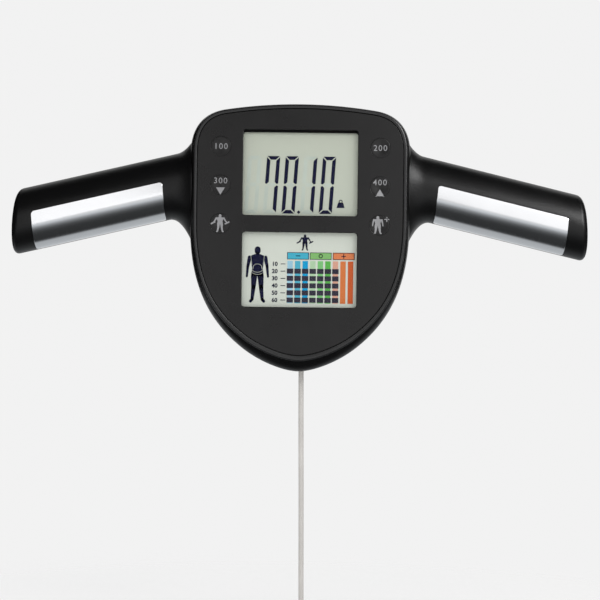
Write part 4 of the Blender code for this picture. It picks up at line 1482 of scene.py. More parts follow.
@dataclass(frozen=True)
class Housing:
    """The clamshell: two hollow halves with their openings, and the screws that hold them.

    A lip along the rear half's edge reaches into a step in the front half's.
    """

    head: HeadForm
    grip: GripForm
    electrodes: Electrodes
    seam_gap: float = 0.0003
    lip: float = 0.0011
    lip_reach: float = 0.0015
    key_hole: float = 0.0057
    chin_hole: float = 0.0035
    sides: int = 40
    boss_radius: float = 0.0036
    boss_floor: float = 0.0030
    boss_end: float = 0.0174
    screw_number: int = 6
    screw_gap: float = 0.0003
    screw_radius: float = 0.00145
    screw_tip_share: float = 0.5
    screw_head: float = 0.0028
    screw_head_height: float = 0.0020
    head_flat_share: float = 0.72
    head_side_share: float = 0.35
    head_steps: int = 6
    screw_sides: int = 32
    recess_reach_share: float = 0.62
    recess_width_share: float = 0.20
    recess_depth: float = 0.0011

    def half(self, name: str, facing: Facing) -> Carving:
        """One half, hollowed, with its electrodes' recesses and the way through its chin.

        Args:
            name: The finished piece's name.
            facing: Which half.

        Returns:
            The half, ready for its own openings.
        """
        carving = Carving(name, loft(self.head.half(facing)))
        for side in Side:
            carving.apply(Operation.JOIN, loft(self.grip.half(side, facing)))
        self.cut_seam(carving, facing)
        if facing is Facing.REAR:
            self.fill(carving, Operation.JOIN, Facing.REAR, self.lip_reach, self.lip)
        else:
            spare = self.seam_gap / 2
            self.fill(carving, Operation.CUT, Facing.REAR, self.lip_reach + spare, self.lip + spare)
        self.fill(carving, Operation.CUT, facing, self.head.past_seam + OVERRUN)
        for side in Side:
            carving.apply(Operation.CUT, self.electrodes.recess(side, facing))
        low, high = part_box("cord_grommet")
        middle = (low + high) / 2
        start = Vector((middle.x, 0.0, -self.head.chin - OVERRUN))
        end = Vector((middle.x, 0.0, high.z))
        carving.apply(Operation.CUT, rod(start, end, self.chin_hole, self.sides))
        return carving

    def fill(
        self, carving: Carving, operation: Operation, facing: Facing, past: float, grow: float = 0.0
    ) -> None:
        """Joins or cuts the form of a half's hollow.

        Args:
            carving: The half that is worked on.
            operation: Whether the form is joined or cut.
            facing: Whose hollow it is.
            past: How far it runs past the seam.
            grow: How much wider it is than the hollow.
        """
        carving.apply(operation, loft(self.head.hollow(facing, past, grow)))
        for side in Side:
            carving.apply(operation, loft(self.grip.hollow(side, facing, past, grow)))

    def cut_seam(self, carving: Carving, facing: Facing) -> None:
        """Cuts a half flat, just off the seam.

        Args:
            carving: The half.
            facing: Which half it is.
        """
        reach = self.head.half_width + self.grip.length + self.grip.radius
        edge = facing.value * self.seam_gap / 2
        far = -facing.value * (self.head.past_seam + 3 * OVERRUN)
        low = Vector((-reach, min(edge, far), -self.head.chin - OVERRUN))
        carving.apply(Operation.CUT, box(low, Vector((reach, max(edge, far), self.head.top + OVERRUN))))

    def build(self, keys: "Keys") -> None:
        """Makes both halves and the screws.

        Args:
            keys: The keys, for their holes.
        """
        front = self.half("front_shell", Facing.FRONT)
        face = -self.head.front
        back = face + self.head.wall + OVERRUN
        for lens in ("upper_window_lens", "lower_window_lens"):
            low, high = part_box(lens)
            spare = Vector((self.seam_gap, 0.0, self.seam_gap))
            low, high = low - spare, high + spare
            low.y, high.y = face - OVERRUN, back
            front.apply(Operation.CUT, box(low, high))
        for _, _, middle in keys.places():
            start, end = (Vector((middle.x, y, middle.y)) for y in (face - OVERRUN, back))
            front.apply(Operation.CUT, rod(start, end, self.key_hole, self.sides))
        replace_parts(front.finish(HOUSING_PLASTIC), "front_housing")
        rear = self.half("rear_shell", Facing.REAR)
        for number in range(1, self.screw_number + 1):
            low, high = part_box(f"housing_screw_{number}")
            middle = (low + high) / 2
            depths = (self.seam_gap, self.boss_end, self.boss_floor, self.head.back + OVERRUN)
            start, end, floor, out = (Vector((middle.x, y, middle.z)) for y in depths)
            rear.apply(Operation.JOIN, rod(start, end, self.boss_radius, self.sides))
            rear.apply(Operation.CUT, rod(floor, out, self.screw_head + self.screw_gap, self.sides))
        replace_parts(rear.finish(HOUSING_PLASTIC), "rear_housing")
        for number in range(1, self.screw_number + 1):
            self.build_screw(number)

    def build_screw(self, number: int) -> None:
        """Makes a pan-head screw with a cross recess.

        Args:
            number: Its number.
        """
        low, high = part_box(f"housing_screw_{number}")
        middle = (low + high) / 2
        head, radius, height = self.screw_head, self.screw_radius, self.screw_head_height
        flat, side = self.head_flat_share, self.head_side_share
        under = high.y - height
        profile = [(0.0, high.y)]
        for step in range(self.head_steps + 1):
            angle = math.pi / 2 * step / self.head_steps
            out = head * (flat + (1 - flat) * math.sin(angle))
            profile.append((out, under + height * (side + (1 - side) * math.cos(angle))))
        profile += [(head, under), (radius, under), (radius, low.y + radius)]
        profile += [(radius * self.screw_tip_share, low.y), (0.0, low.y)]
        place = Matrix.Translation((middle.x, 0.0, middle.z)) @ Matrix.Rotation(-math.pi / 2, 4, "X")
        screw = Carving(f"case_screw_{number}", turned(profile, self.screw_sides, place))
        reach, half = head * self.recess_reach_share, head * self.recess_width_share
        for across, up in ((reach, half), (half, reach)):
            corner = Vector((across, 0.0, up))
            near = Vector((middle.x, high.y - self.recess_depth, middle.z)) - corner
            far = Vector((middle.x, high.y + OVERRUN, middle.z)) + corner
            screw.apply(Operation.CUT, box(near, far))
        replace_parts(screw.finish(SCREW_STEEL), f"housing_screw_{number}")


# The face


@dataclass(frozen=True)
class Bezel:
    """The ring round the face."""

    head: HeadForm
    widths: tuple[float, float, float] = (0.0021, 0.0020, 0.0030)
    edge: float = 0.0009
    inner_edge: float = 0.00025
    steps: int = 8

    def inner(self) -> list[float]:
        """How far the ring's inner side is drawn in from the outline at the top, the sides and the chin."""
        return [inset + width for inset, width in zip(self.head.front_round, self.widths)]

    def build(self) -> None:
        """Makes the ring, its outer front edge well rounded and its inner one softened."""
        low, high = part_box("bezel_ring")
        front, back = low.y, high.y
        outer = self.head.front_round
        rings = [self.head.ring(back, outer)]
        for step in range(self.steps + 1):
            angle = math.pi / 2 * step / self.steps
            more = self.edge * (1 - math.cos(angle))
            rings.append(self.head.ring(front + self.edge * (1 - math.sin(angle)), outer, more))
        inner = self.inner()
        rings += [
            self.head.ring(front, inner, -self.inner_edge),
            self.head.ring(front + self.inner_edge / 3, inner, -self.inner_edge / 3),
            self.head.ring(front + self.inner_edge, inner),
            self.head.ring(back, inner),
        ]
        ring = add_piece("bezel_band", loft(rings, cyclic=True), BEZEL_GLOSS)
        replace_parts(ring, "bezel_ring")


@dataclass(frozen=True)
class Keys:
    """Six round keys, dished a little, each with its mark."""

    x: float = 0.0452
    top_z: float = 0.0322
    pitch: float = 0.0219
    radius: float = 0.00558
    dish: float = 0.00052
    edge: float = 0.00008
    dish_steps: int = 12
    round_steps: int = 64
    edge_share: float = 0.3
    gap: float = 0.0003
    flange: float = 0.0008
    stem: float = 0.0022
    wall: float = 0.0022

    def places(self) -> Iterator[tuple[Side, Row, Vector]]:
        """Each key's side, row and the X and Z of its middle."""
        for side in Side:
            for row in Row:
                yield side, row, Vector((side.value * self.x, self.top_z - row.value * self.pitch))

    def surface(self, out: float) -> float:
        """How far a key's face is sunk at a distance from its middle."""
        share = min(1.0, out / (self.radius - self.edge))
        return self.dish * (0.5 + 0.5 * math.cos(math.pi * share))

    def build(self) -> None:
        """Turns the keys, and dresses each with its mark."""
        marks = KeyMarks(self)
        for side, row, middle in self.places():
            node = f"key_{side.label}_{row.label}"
            body = f"{side.label}_{row.label}_key"
            low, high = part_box(node)
            reach = self.radius - self.edge
            profile = []
            for step in range(self.dish_steps + 1):
                out = reach * step / self.dish_steps
                profile.append((out, -self.surface(out)))
            flange = (high.x - low.x) / 2
            flange_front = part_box("face_panel")[0].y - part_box("front_housing")[0].y - self.wall
            under = -(abs(flange_front) + self.gap)
            profile += [
                (self.radius - self.edge * self.edge_share, -self.edge * self.edge_share),
                (self.radius, -self.edge),
                (self.radius, under),
                (flange, under),
                (flange, under - self.flange),
                (self.stem, under - self.flange),
                (self.stem, low.y - high.y),
                (0.0, low.y - high.y),
            ]
            place = Matrix.Translation((middle.x, low.y, middle.y)) @ Matrix.Rotation(math.pi / 2, 4, "X")
            shape = turned(profile, self.round_steps, place)
            key = add_piece(f"{side.label}_{row.label}_cap", shape, KEY_GREY, body)
            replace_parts(key, node)
            marks.build(side, row, middle, low.y, body)


class Drawing:
    """Flat marks in one colour, gathered as thin plates facing the user."""

    def __init__(self, y: float, thickness: float = 0.00004) -> None:
        """Starts an empty drawing.

        Args:
            y: The depth of its front.
            thickness: How thick its plates are.
        """
        self.y = y
        self.thickness = thickness
        self.shape = bmesh.new()

    def polygon(self, points: Sequence[Vector]) -> None:
        """Adds a filled outline, whose corners are given in X and Z."""
        verts = [self.shape.verts.new((point.x, self.y, point.y)) for point in points]
        self.thicken([self.shape.faces.new(verts)])

    def thicken(self, faces: list[bmesh.types.BMFace]) -> None:
        """Makes flat faces a plate."""
        made = bmesh.ops.extrude_face_region(self.shape, geom=faces)["geom"]
        moved = [item for item in made if isinstance(item, bmesh.types.BMVert)]
        bmesh.ops.translate(self.shape, verts=moved, vec=(0.0, self.thickness, 0.0))

    def rectangle(self, low: Vector, high: Vector) -> None:
        """Adds a rectangle between two corners."""
        self.polygon([low, Vector((high.x, low.y)), high, Vector((low.x, high.y))])

    def bar(
        self, start: Vector, end: Vector, start_width: float, end_width: float, steps: int = 10
    ) -> None:
        """Adds a bar with round ends, which may taper.

        Args:
            start: The middle of one end.
            end: The middle of the other.
            start_width: Its width at the start.
            end_width: Its width at the end.
            steps: How many points each end has, less one.
        """
        along = (end - start).normalized()
        heading = math.atan2(along.y, along.x)
        points = []
        for middle, width, turn in ((start, start_width, math.pi / 2), (end, end_width, -math.pi / 2)):
            for step in range(steps + 1):
                angle = heading + turn + math.pi * step / steps
                points.append(middle + width / 2 * Vector((math.cos(angle), math.sin(angle))))
        self.polygon(points)

    def line(self, start: Vector, end: Vector, width: float) -> None:
        """Adds a thin line between two places."""
        self.bar(start, end, width, width, LINE_STEPS)

    def frame(self, low: Vector, high: Vector, width: float) -> None:
        """Adds the outline of a rectangle.

        Args:
            low: Its lowest corner.
            high: Its highest corner.
            width: The line's width.
        """
        self.rectangle(low, Vector((high.x, low.y + width)))
        self.rectangle(Vector((low.x, high.y - width)), high)
        self.rectangle(Vector((low.x, low.y + width)), Vector((low.x + width, high.y - width)))
        self.rectangle(Vector((high.x - width, low.y + width)), Vector((high.x, high.y - width)))

    def ring(self, middle: Vector, radius: float, width: float, steps: int) -> None:
        """Adds a ring as short lines.

        Args:
            middle: Its middle.
            radius: The radius of its line's middle.
            width: The line's width.
            steps: How many sides it has.
        """
        corners = [
            middle + radius * Vector((math.cos(math.tau * step / steps), math.sin(math.tau * step / steps)))
            for step in range(steps)
        ]
        for index, corner in enumerate(corners):
            self.line(corners[index - 1], corner, width)

    def figures(
        self, text: str, middle: Vector, height: float, spacing: float = 1.0, weight: float = 0.018
    ) -> None:
        """Adds plain figures.

        Args:
            text: The figures.
            middle: The middle of the line.
            height: How tall a figure is.
            spacing: How wide the figures are set.
            weight: How much bolder than plain they are, as a share of their size.
        """
        curve = bpy.data.curves.new("figures", "FONT")
        curve.body = text
        curve.align_x = "CENTER"
        curve.align_y = "CENTER"
        curve.space_character = spacing
        curve.resolution_u = 3
        curve.offset = weight
        source = put("figures", curve)
        graph = bpy.context.evaluated_depsgraph_get()
        mesh = bpy.data.meshes.new_from_object(source.evaluated_get(graph))
        heights = [vert.co.y for vert in mesh.vertices]
        scale = height / (max(heights) - min(heights))
        lift = (max(heights) + min(heights)) / 2
        place = Matrix.Translation((middle.x, self.y, middle.y)) @ Matrix.Rotation(math.pi / 2, 4, "X")
        mesh.transform(place @ Matrix.Scale(scale, 4) @ Matrix.Translation((0.0, -lift, 0.0)))
        before = set(self.shape.faces)
        self.shape.from_mesh(mesh)
        self.thicken([face for face in self.shape.faces if face not in before])
        bpy.data.objects.remove(source)
        bpy.data.curves.remove(curve)
        bpy.data.meshes.remove(mesh)

    def build(self, name: str, finish: Finish, body: str = UNIT_BODY) -> Object:
        """Makes the drawing a piece, which rides on a body."""
        bmesh.ops.recalc_face_normals(self.shape, faces=self.shape.faces)
        return add_piece(name, self.shape, finish, body)


@dataclass(frozen=True)
class Person:
    """A plain figure of a person made of rounded bars, in shares of its height from its feet.

    Of what it has in pairs, the right one is given, and each of a limb's joints has the limb's width there.
    A stouter figure is wider in all its parts. What it may hold reaches as far on both sides of a hand.
    """

    elbow: Vector = field(default_factory=lambda: Vector((0.172, 0.64)))
    hand: Vector = field(default_factory=lambda: Vector((0.188, 0.465)))
    stout: float = 1.0
    head_z: tuple[float, float] = (0.915, 0.948)
    head_width: float = 0.104
    trunk: tuple[tuple[float, float], ...] = (
        (0.026, 0.90),
        (0.032, 0.868),
        (0.112, 0.838),
        (0.128, 0.80),
        (0.112, 0.70),
        (0.092, 0.61),
        (0.108, 0.52),
        (0.112, 0.47),
    )
    shoulder: tuple[float, float] = (0.142, 0.805)
    arm_widths: tuple[float, float, float] = (0.066, 0.050, 0.036)
    leg: tuple[tuple[float, float], ...] = ((0.058, 0.475), (0.068, 0.28), (0.090, 0.060), (0.118, 0.026))
    leg_widths: tuple[float, ...] = (0.110, 0.078, 0.054, 0.052)
    held_reach: tuple[float, float] = (0.10, 0.05)
    held_width: float = 0.085

    def draw(self, drawing: Drawing, middle: Vector, height: float) -> None:
        """Draws the figure.

        Args:
            drawing: What it is drawn on.
            middle: The X and Z between its feet.
            height: How tall it is.
        """
        stout = height * self.stout

        def at(x: float, z: float) -> Vector:
            """A place on the figure from its shares."""
            return middle + Vector((stout * x, height * z))

        drawing.bar(*(at(0.0, z) for z in self.head_z), stout * self.head_width, stout * self.head_width)
        drawing.polygon([at(x, z) for x, z in self.trunk] + [at(-x, z) for x, z in reversed(self.trunk)])
        arm = (self.shoulder, self.elbow, self.hand)
        for joints, widths in ((arm, self.arm_widths), (self.leg, self.leg_widths)):
            for side in (-1, 1):
                places = [at(side * x, z) for x, z in joints]
                for start, end, start_width, end_width in zip(places, places[1:], widths, widths[1:]):
                    drawing.bar(start, end, stout * start_width, stout * end_width)

    def draw_held(self, drawing: Drawing, middle: Vector, height: float) -> None:
        """Draws a short bar in each hand.

        Args:
            drawing: What they are drawn on.
            middle: The X and Z between the figure's feet.
            height: How tall the figure is.
        """
        reach, width = height * Vector(self.held_reach), height * self.held_width
        for end in (-1, 1):
            hand = middle + height * Vector((end * self.hand.x * self.stout, self.hand.y))
            drawing.bar(hand - reach, hand + reach, width, width)


ARMS_OUT = Person(elbow=Vector((0.20, 0.66)), hand=Vector((0.27, 0.53)), stout=1.5)
STOUT = Person(stout=1.6)
KEY_NUMBERS = {
    (Side.LEFT, Row.TOP): "100",
    (Side.RIGHT, Row.TOP): "200",
    (Side.LEFT, Row.MIDDLE): "300",
    (Side.RIGHT, Row.MIDDLE): "400",
}


@dataclass(frozen=True)
class KeyMarks:
    """What is printed on each key and beside it: plain figures, arrows and a person.

    Marks are parted at the key's edge by part_steps flat cuts, and laid into its dish in triangles with
    sides of about the length fine.
    """

    keys: Keys
    lift: float = 0.00003
    panel_gap: float = 0.00020
    part_steps: int = 36
    fine: float = 0.0006
    fine_rounds: int = 4
    figure_height: float = 0.0033
    figure_weight: float = 0.002
    figure_spacing: float = 1.2
    figure_rise: float = 0.0024
    arrow_width: float = 0.0050
    arrow_height: float = 0.0042
    arrow_drop: float = 0.0036
    person_height: float = 0.0098
    person_shift: float = 0.10
    cross_place: tuple[float, float] = (0.42, 0.84)
    cross_reach: float = 0.12
    cross_width: float = 0.06

    def build(self, side: Side, row: Row, middle: Vector, face: float, body: str) -> None:
        """Prints a key's mark on its face.

        Args:
            side: The key's side.
            row: Its row.
            middle: The X and Z of its middle.
            face: The Y of its rim.
            body: The body that it rides on.
        """
        drawing = Drawing(face - self.lift)
        label = f"{side.label}_{row.label}"
        if row is Row.BOTTOM:
            self.print_person(drawing, side, middle)
        else:
            rise = self.figure_rise if row is Row.MIDDLE else 0.0
            place = middle + Vector((0.0, rise))
            drawing.figures(
                KEY_NUMBERS[side, row], place, self.figure_height, self.figure_spacing, self.figure_weight
            )
            if row is Row.MIDDLE:
                self.print_arrow(drawing, middle, -1 if side is Side.LEFT else 1)
        beside = self.part(drawing.shape.copy(), middle, self.keys.radius + self.panel_gap, False)
        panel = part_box("face_panel")[0].y
        bmesh.ops.translate(beside, verts=beside.verts, vec=(0.0, panel - face, 0.0))
        if beside.faces:
            add_piece(f"{label}_panel_mark", beside, LEGEND_GREY)
        printed = self.part(drawing.shape, middle, self.keys.radius - self.keys.edge, True)
        add_piece(f"{label}_mark", self.sink(printed, middle), LEGEND_GREY, body)

    def part(self, shape: Shape, middle: Vector, reach: float, inside: bool) -> Shape:
        """Parts a mark round the key's middle.

        Args:
            shape: The mark.
            middle: The X and Z of the key's middle.
            reach: How far from the middle it is parted.
            inside: Whether what is nearer is kept. Otherwise what is farther is.

        Returns:
            The same shape, with what isn't kept gone and its open sides closed.
        """
        centre = Vector((middle.x, 0.0, middle.y))
        angles = [math.tau * step / self.part_steps for step in range(self.part_steps)]
        outwards = [Vector((math.cos(angle), 0.0, math.sin(angle))) for angle in angles]
        for outward in outwards:
            if all((vert.co - centre).dot(outward) <= reach for vert in shape.verts):
                continue
            parts = [*shape.verts, *shape.edges, *shape.faces]
            place = centre + outward * reach
            bmesh.ops.bisect_plane(shape, geom=parts, plane_co=place, plane_no=outward, clear_outer=inside)
        if not inside:
            near = []
            for item in shape.faces:
                offset = item.calc_center_median() - centre
                if all(offset.dot(outward) < reach for outward in outwards):
                    near.append(item)
            bmesh.ops.delete(shape, geom=near, context="FACES")
        bmesh.ops.holes_fill(shape, edges=[edge for edge in shape.edges if edge.is_boundary], sides=0)
        bmesh.ops.recalc_face_normals(shape, faces=shape.faces)
        return shape

    def sink(self, shape: Shape, middle: Vector) -> Shape:
        """Lays a mark into the key's dish.

        Args:
            shape: The mark.
            middle: The X and Z of the key's middle.

        Returns:
            The same shape, in finer triangles.
        """
        for _ in range(self.fine_rounds):
            bmesh.ops.triangulate(shape, faces=shape.faces)
            long = [edge for edge in shape.edges if edge.calc_length() > self.fine]
            bmesh.ops.subdivide_edges(shape, edges=long, cuts=1)
        bmesh.ops.triangulate(shape, faces=shape.faces)
        for vert in shape.verts:
            vert.co.y += self.keys.surface(math.hypot(vert.co.x - middle.x, vert.co.z - middle.y))
        return shape

    def print_arrow(self, drawing: Drawing, middle: Vector, up: int) -> None:
        """Prints a triangle under the figures, which points down or up.

        Args:
            drawing: What it is printed on.
            middle: The middle of the key.
            up: 1 where it points up and -1 where it points down.
        """
        half, tall = self.arrow_width / 2, self.arrow_height / 2
        place = middle - Vector((0.0, self.arrow_drop))
        corners = [Vector((-half, -up * tall)), Vector((half, -up * tall)), Vector((0.0, up * tall))]
        drawing.polygon([place + corner for corner in corners])

    def print_person(self, drawing: Drawing, side: Side, middle: Vector) -> None:
        """Prints a person: with a bar in each hand on the left, and with a small cross on the right.

        Args:
            drawing: What it is printed on.
            side: The key's side.
            middle: The middle of the key.
        """
        height = self.person_height
        feet = middle - Vector((0.0, height / 2))
        if side is Side.LEFT:
            ARMS_OUT.draw(drawing, feet, height)
            ARMS_OUT.draw_held(drawing, feet, height)
        else:
            STOUT.draw(drawing, feet - Vector((height * self.person_shift, 0.0)), height)
            cross = feet + height * Vector(self.cross_place)
            arm, width = height * self.cross_reach, height * self.cross_width
            for reach in (Vector((arm, 0.0)), Vector((0.0, arm))):
                drawing.bar(cross - reach, cross + reach, width, width)


@dataclass(frozen=True)
class Window:
    """One window of the face: what is seen of its display, and how far the opening runs on above that."""

    name: str
    middle: Vector
    size: Vector
    band: float

    def outline(self, corner: float, grow: float, y: float, band: float = 0.0) -> Ring:
        """The window's outline at a depth.

        Args:
            corner: Its corners' radius before it grows.
            grow: How far it grows all round.
            y: Its depth.
            band: How far it runs on above.

        Returns:
            The ring.
        """
        width, height = self.size.x + 2 * grow, self.size.y + 2 * grow + band
        middle = self.middle + Vector((0.0, band / 2))
        return rounded_rectangle(width, height, corner + grow, y, middle)


@dataclass(frozen=True)
class Windows:
    """The two windows of the face, from the boxes of their lenses' nodes, with a mask before each lens."""

    lip: float = 0.0012
    gap: float = 0.0003
    corner: float = 0.0016
    lens_gap: float = 0.00005
    edge: float = 0.0002
    upper_band: float = 0.0015
    mask_reach: float = 0.0024
    mask_front: float = 0.00025

    def places(self) -> Iterator[Window]:
        """Both windows."""
        shrink = 2 * (self.lip - self.gap)
        for name, band in (("upper", self.upper_band), ("lower", 0.0)):
            low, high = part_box(f"{name}_window_lens")
            middle = (low + high) / 2
            size = high - low
            seen = Vector((size.x - shrink, size.z - shrink))
            yield Window(name, Vector((middle.x, middle.z)), seen, band)

    def build(self) -> None:
        """Makes the two lenses, and the mask before each."""
        for window in self.places():
            low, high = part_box(f"{window.name}_window_lens")
            grow = self.lip - self.gap - self.lens_gap
            places = (
                (grow - self.edge, low.y),
                (grow, low.y + self.edge),
                (grow, high.y - self.edge),
                (grow - self.edge, high.y),
            )
            shape = loft([window.outline(self.corner, *place) for place in places])
            lens = add_piece(f"{window.name}_lens", shape, CLEAR_WINDOW, sharp=FLAT_SHARP_ANGLE)
            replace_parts(lens, f"{window.name}_window_lens")
            front, back = low.y - self.mask_front, low.y - self.lens_gap
            slope, reach = self.lens_gap, self.mask_reach
            places = ((reach, front + slope), (0.0, front), (0.0, back), (reach, back - slope))
            shape = loft([window.outline(self.corner, *place) for place in places], cyclic=True)
            add_piece(f"{window.name}_mask", shape, MASK_BLACK)


@dataclass(frozen=True)
class FacePanel:
    """The flat panel inside the ring, with its windows and key holes."""

    head: HeadForm
    bezel: Bezel
    windows: Windows
    keys: Keys
    gap: float = 0.0003
    edge: float = 0.00020
    window_edge: float = 0.00030
    key_hole: float = 0.00568
    key_edge: float = 0.00008
    hole_sides: int = 64

    def build(self) -> None:
        """Makes the panel with softened edges round it and in every opening."""
        low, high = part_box("face_panel")
        front, back = low.y, high.y
        inner = self.bezel.inner()
        rings = [
            self.head.ring(back, inner, self.gap),
            self.head.ring(front + self.edge, inner, self.gap),
            self.head.ring(front + self.edge / 3, inner, self.gap + self.edge / 3),
            self.head.ring(front, inner, self.gap + self.edge),
        ]
        panel = Carving("face_plate", loft(rings))
        end = back + OVERRUN
        for window in self.windows.places():

            def opening(grow: float, y: float, window: Window = window) -> Ring:
                """The opening's outline for a growth and a depth."""
                return window.outline(self.windows.corner, grow, y, window.band)

            panel.apply(Operation.CUT, flared(opening, front, end, self.window_edge))
        for _, _, middle in self.keys.places():

            def hole(grow: float, y: float, middle: Vector = middle) -> Ring:
                """The hole's outline for a growth and a depth."""
                return circle(self.key_hole + grow, y, middle, self.hole_sides)

            panel.apply(Operation.CUT, flared(hole, front, end, self.key_edge))
        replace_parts(panel.finish(PANEL_GREY, FLAT_SHARP_ANGLE), "face_panel")


# The displays


@dataclass(frozen=True)
class SegmentDigit:
    """A leaning figure of seven bars, in millimetres.

    An upright bar ends in a tip that is tip_gaps gaps from the figure's middle. The rest of its end is in
    strokes: how far the inner corner is from the middle, the outer corner from the tip's height, and the tip
    from the bar's outer side. across_share is how far in the tips of the bar across are.
    """

    width: float = 7.5
    height: float = 32.6
    stroke: float = 2.05
    gap: float = 0.28
    lean: float = math.radians(3.8)
    inner_share: float = 0.75
    outer_share: float = 0.2
    tip_share: float = 0.45
    across_share: float = 0.55
    tip_gaps: float = 1.4
    figures: tuple[str, ...] = (
        "abcdef",
        "bc",
        "abged",
        "abgcd",
        "fgbc",
        "afgcd",
        "afgedc",
        "abcf",
        "abcdefg",
        "abcdfg",
    )

    def bars(self) -> dict[str, list[Vector]]:
        """The corners of each bar, upright, from the figure's lower left corner.

        Returns:
            The corners by the bar's letter.
        """
        wide, tall, stroke, gap = self.width, self.height, self.stroke, self.gap
        middle = tall / 2
        tip = middle + gap * self.tip_gaps
        top = [
            (gap, tall),
            (wide - gap, tall),
            (wide - stroke - gap, tall - stroke),
            (stroke + gap, tall - stroke),
        ]
        left = [
            (0.0, tall - gap * 2),
            (stroke, tall - stroke - gap * 2),
            (stroke, middle + stroke * self.inner_share),
            (stroke * self.tip_share, tip),
            (0.0, tip + stroke * self.outer_share),
        ]
        across = [
            (stroke * self.across_share + gap, middle),
            (stroke + gap, middle + stroke / 2),
            (wide - stroke - gap, middle + stroke / 2),
            (wide - stroke * self.across_share - gap, middle),
            (wide - stroke - gap, middle - stroke / 2),
            (stroke + gap, middle - stroke / 2),
        ]
        bars = {"a": top, "f": left, "g": across}
        bars["b"] = [(wide - x, z) for x, z in left]
        bars["e"] = [(x, tall - z) for x, z in left]
        bars["c"] = [(wide - x, tall - z) for x, z in left]
        bars["d"] = [(x, tall - z) for x, z in top]
        return {letter: [Vector(corner) for corner in corners] for letter, corners in bars.items()}

    def draw(self, drawing: Drawing, letters: str, place: Vector) -> None:
        """Draws some of the bars.

        Args:
            drawing: What they are drawn on.
            letters: Which bars.
            place: The X and Z of the figure's upper left corner, in millimetres.
        """
        for letter in letters:
            corners = []
            for corner in self.bars()[letter]:
                lean = (corner.y - self.height) * math.tan(self.lean)
                corners.append(MM * (place + Vector((corner.x + lean, corner.y - self.height))))
            drawing.polygon(corners)


@dataclass(frozen=True)
class UpperReading:
    """What the upper display shows: a weight in large figures, with unlit bars faintly seen.

    Millimetres. Lifts are how far ink stands before the display's face.
    """

    digit: SegmentDigit = SegmentDigit()
    left: float = -19.0
    top: float = 27.2
    pitch: float = 10.6
    reading: tuple[int | None, ...] = (None, 7, 0, 1, 0)
    point_place: tuple[float, float] = (-0.75, -4.55)
    point_radius: float = 1.05
    weight_place: tuple[float, float] = (23.1, -1.9)
    weight_width: float = 4.6
    weight_height: float = 4.2
    weight_top_share: float = 0.62
    weight_body_share: float = 0.72
    weight_ring_share: float = 0.86
    weight_ring: float = 0.85
    weight_line: float = 0.5
    weight_ring_steps: int = 14
    lift: float = 0.10
    unlit_lift: float = 0.06

    def build(self, face: float) -> None:
        """Draws the reading.

        Args:
            face: The Y of the display's front.
        """
        lit, unlit = Drawing(face - MM * self.lift), Drawing(face - MM * self.unlit_lift)
        for place, value in enumerate(self.reading):
            corner = Vector((self.left + (place - 1) * self.pitch, self.top))
            letters = self.digit.figures[value] if value is not None else ""
            self.digit.draw(lit, letters, corner)
            self.digit.draw(unlit, "".join(letter for letter in "abcdefg" if letter not in letters), corner)
        x, z = self.point_place
        reach = self.point_radius
        corners = [(x - reach, z), (x, z - reach), (x + reach, z), (x, z + reach)]
        lit.polygon([MM * Vector(corner) for corner in corners])
        self.draw_weight(lit)
        lit.build("upper_reading", INK)
        unlit.build("upper_unlit_bars", GHOST_INK)

    def draw_weight(self, drawing: Drawing) -> None:
        """Draws a small weight with a ring, as the sign for a weight.

        Args:
            drawing: What it is drawn on.
        """
        middle = Vector(self.weight_place)
        half, tall = self.weight_width / 2, self.weight_height
        narrow, top = half * self.weight_top_share, tall * self.weight_body_share
        corners = [(-half, 0.0), (half, 0.0), (narrow, top), (-narrow, top)]
        drawing.polygon([MM * (middle + Vector(corner)) for corner in corners])
        centre = MM * (middle + Vector((0.0, tall * self.weight_ring_share)))
        drawing.ring(centre, MM * self.weight_ring, MM * self.weight_line, self.weight_ring_steps)


@dataclass(frozen=True)
class ColumnGroup:
    """A header with its sign, from its left to its right in millimetres, and the columns under it."""

    name: str
    sign: Sign
    left: float
    right: float
    colour: Colour
    tints: tuple[Colour, Colour, Colour]


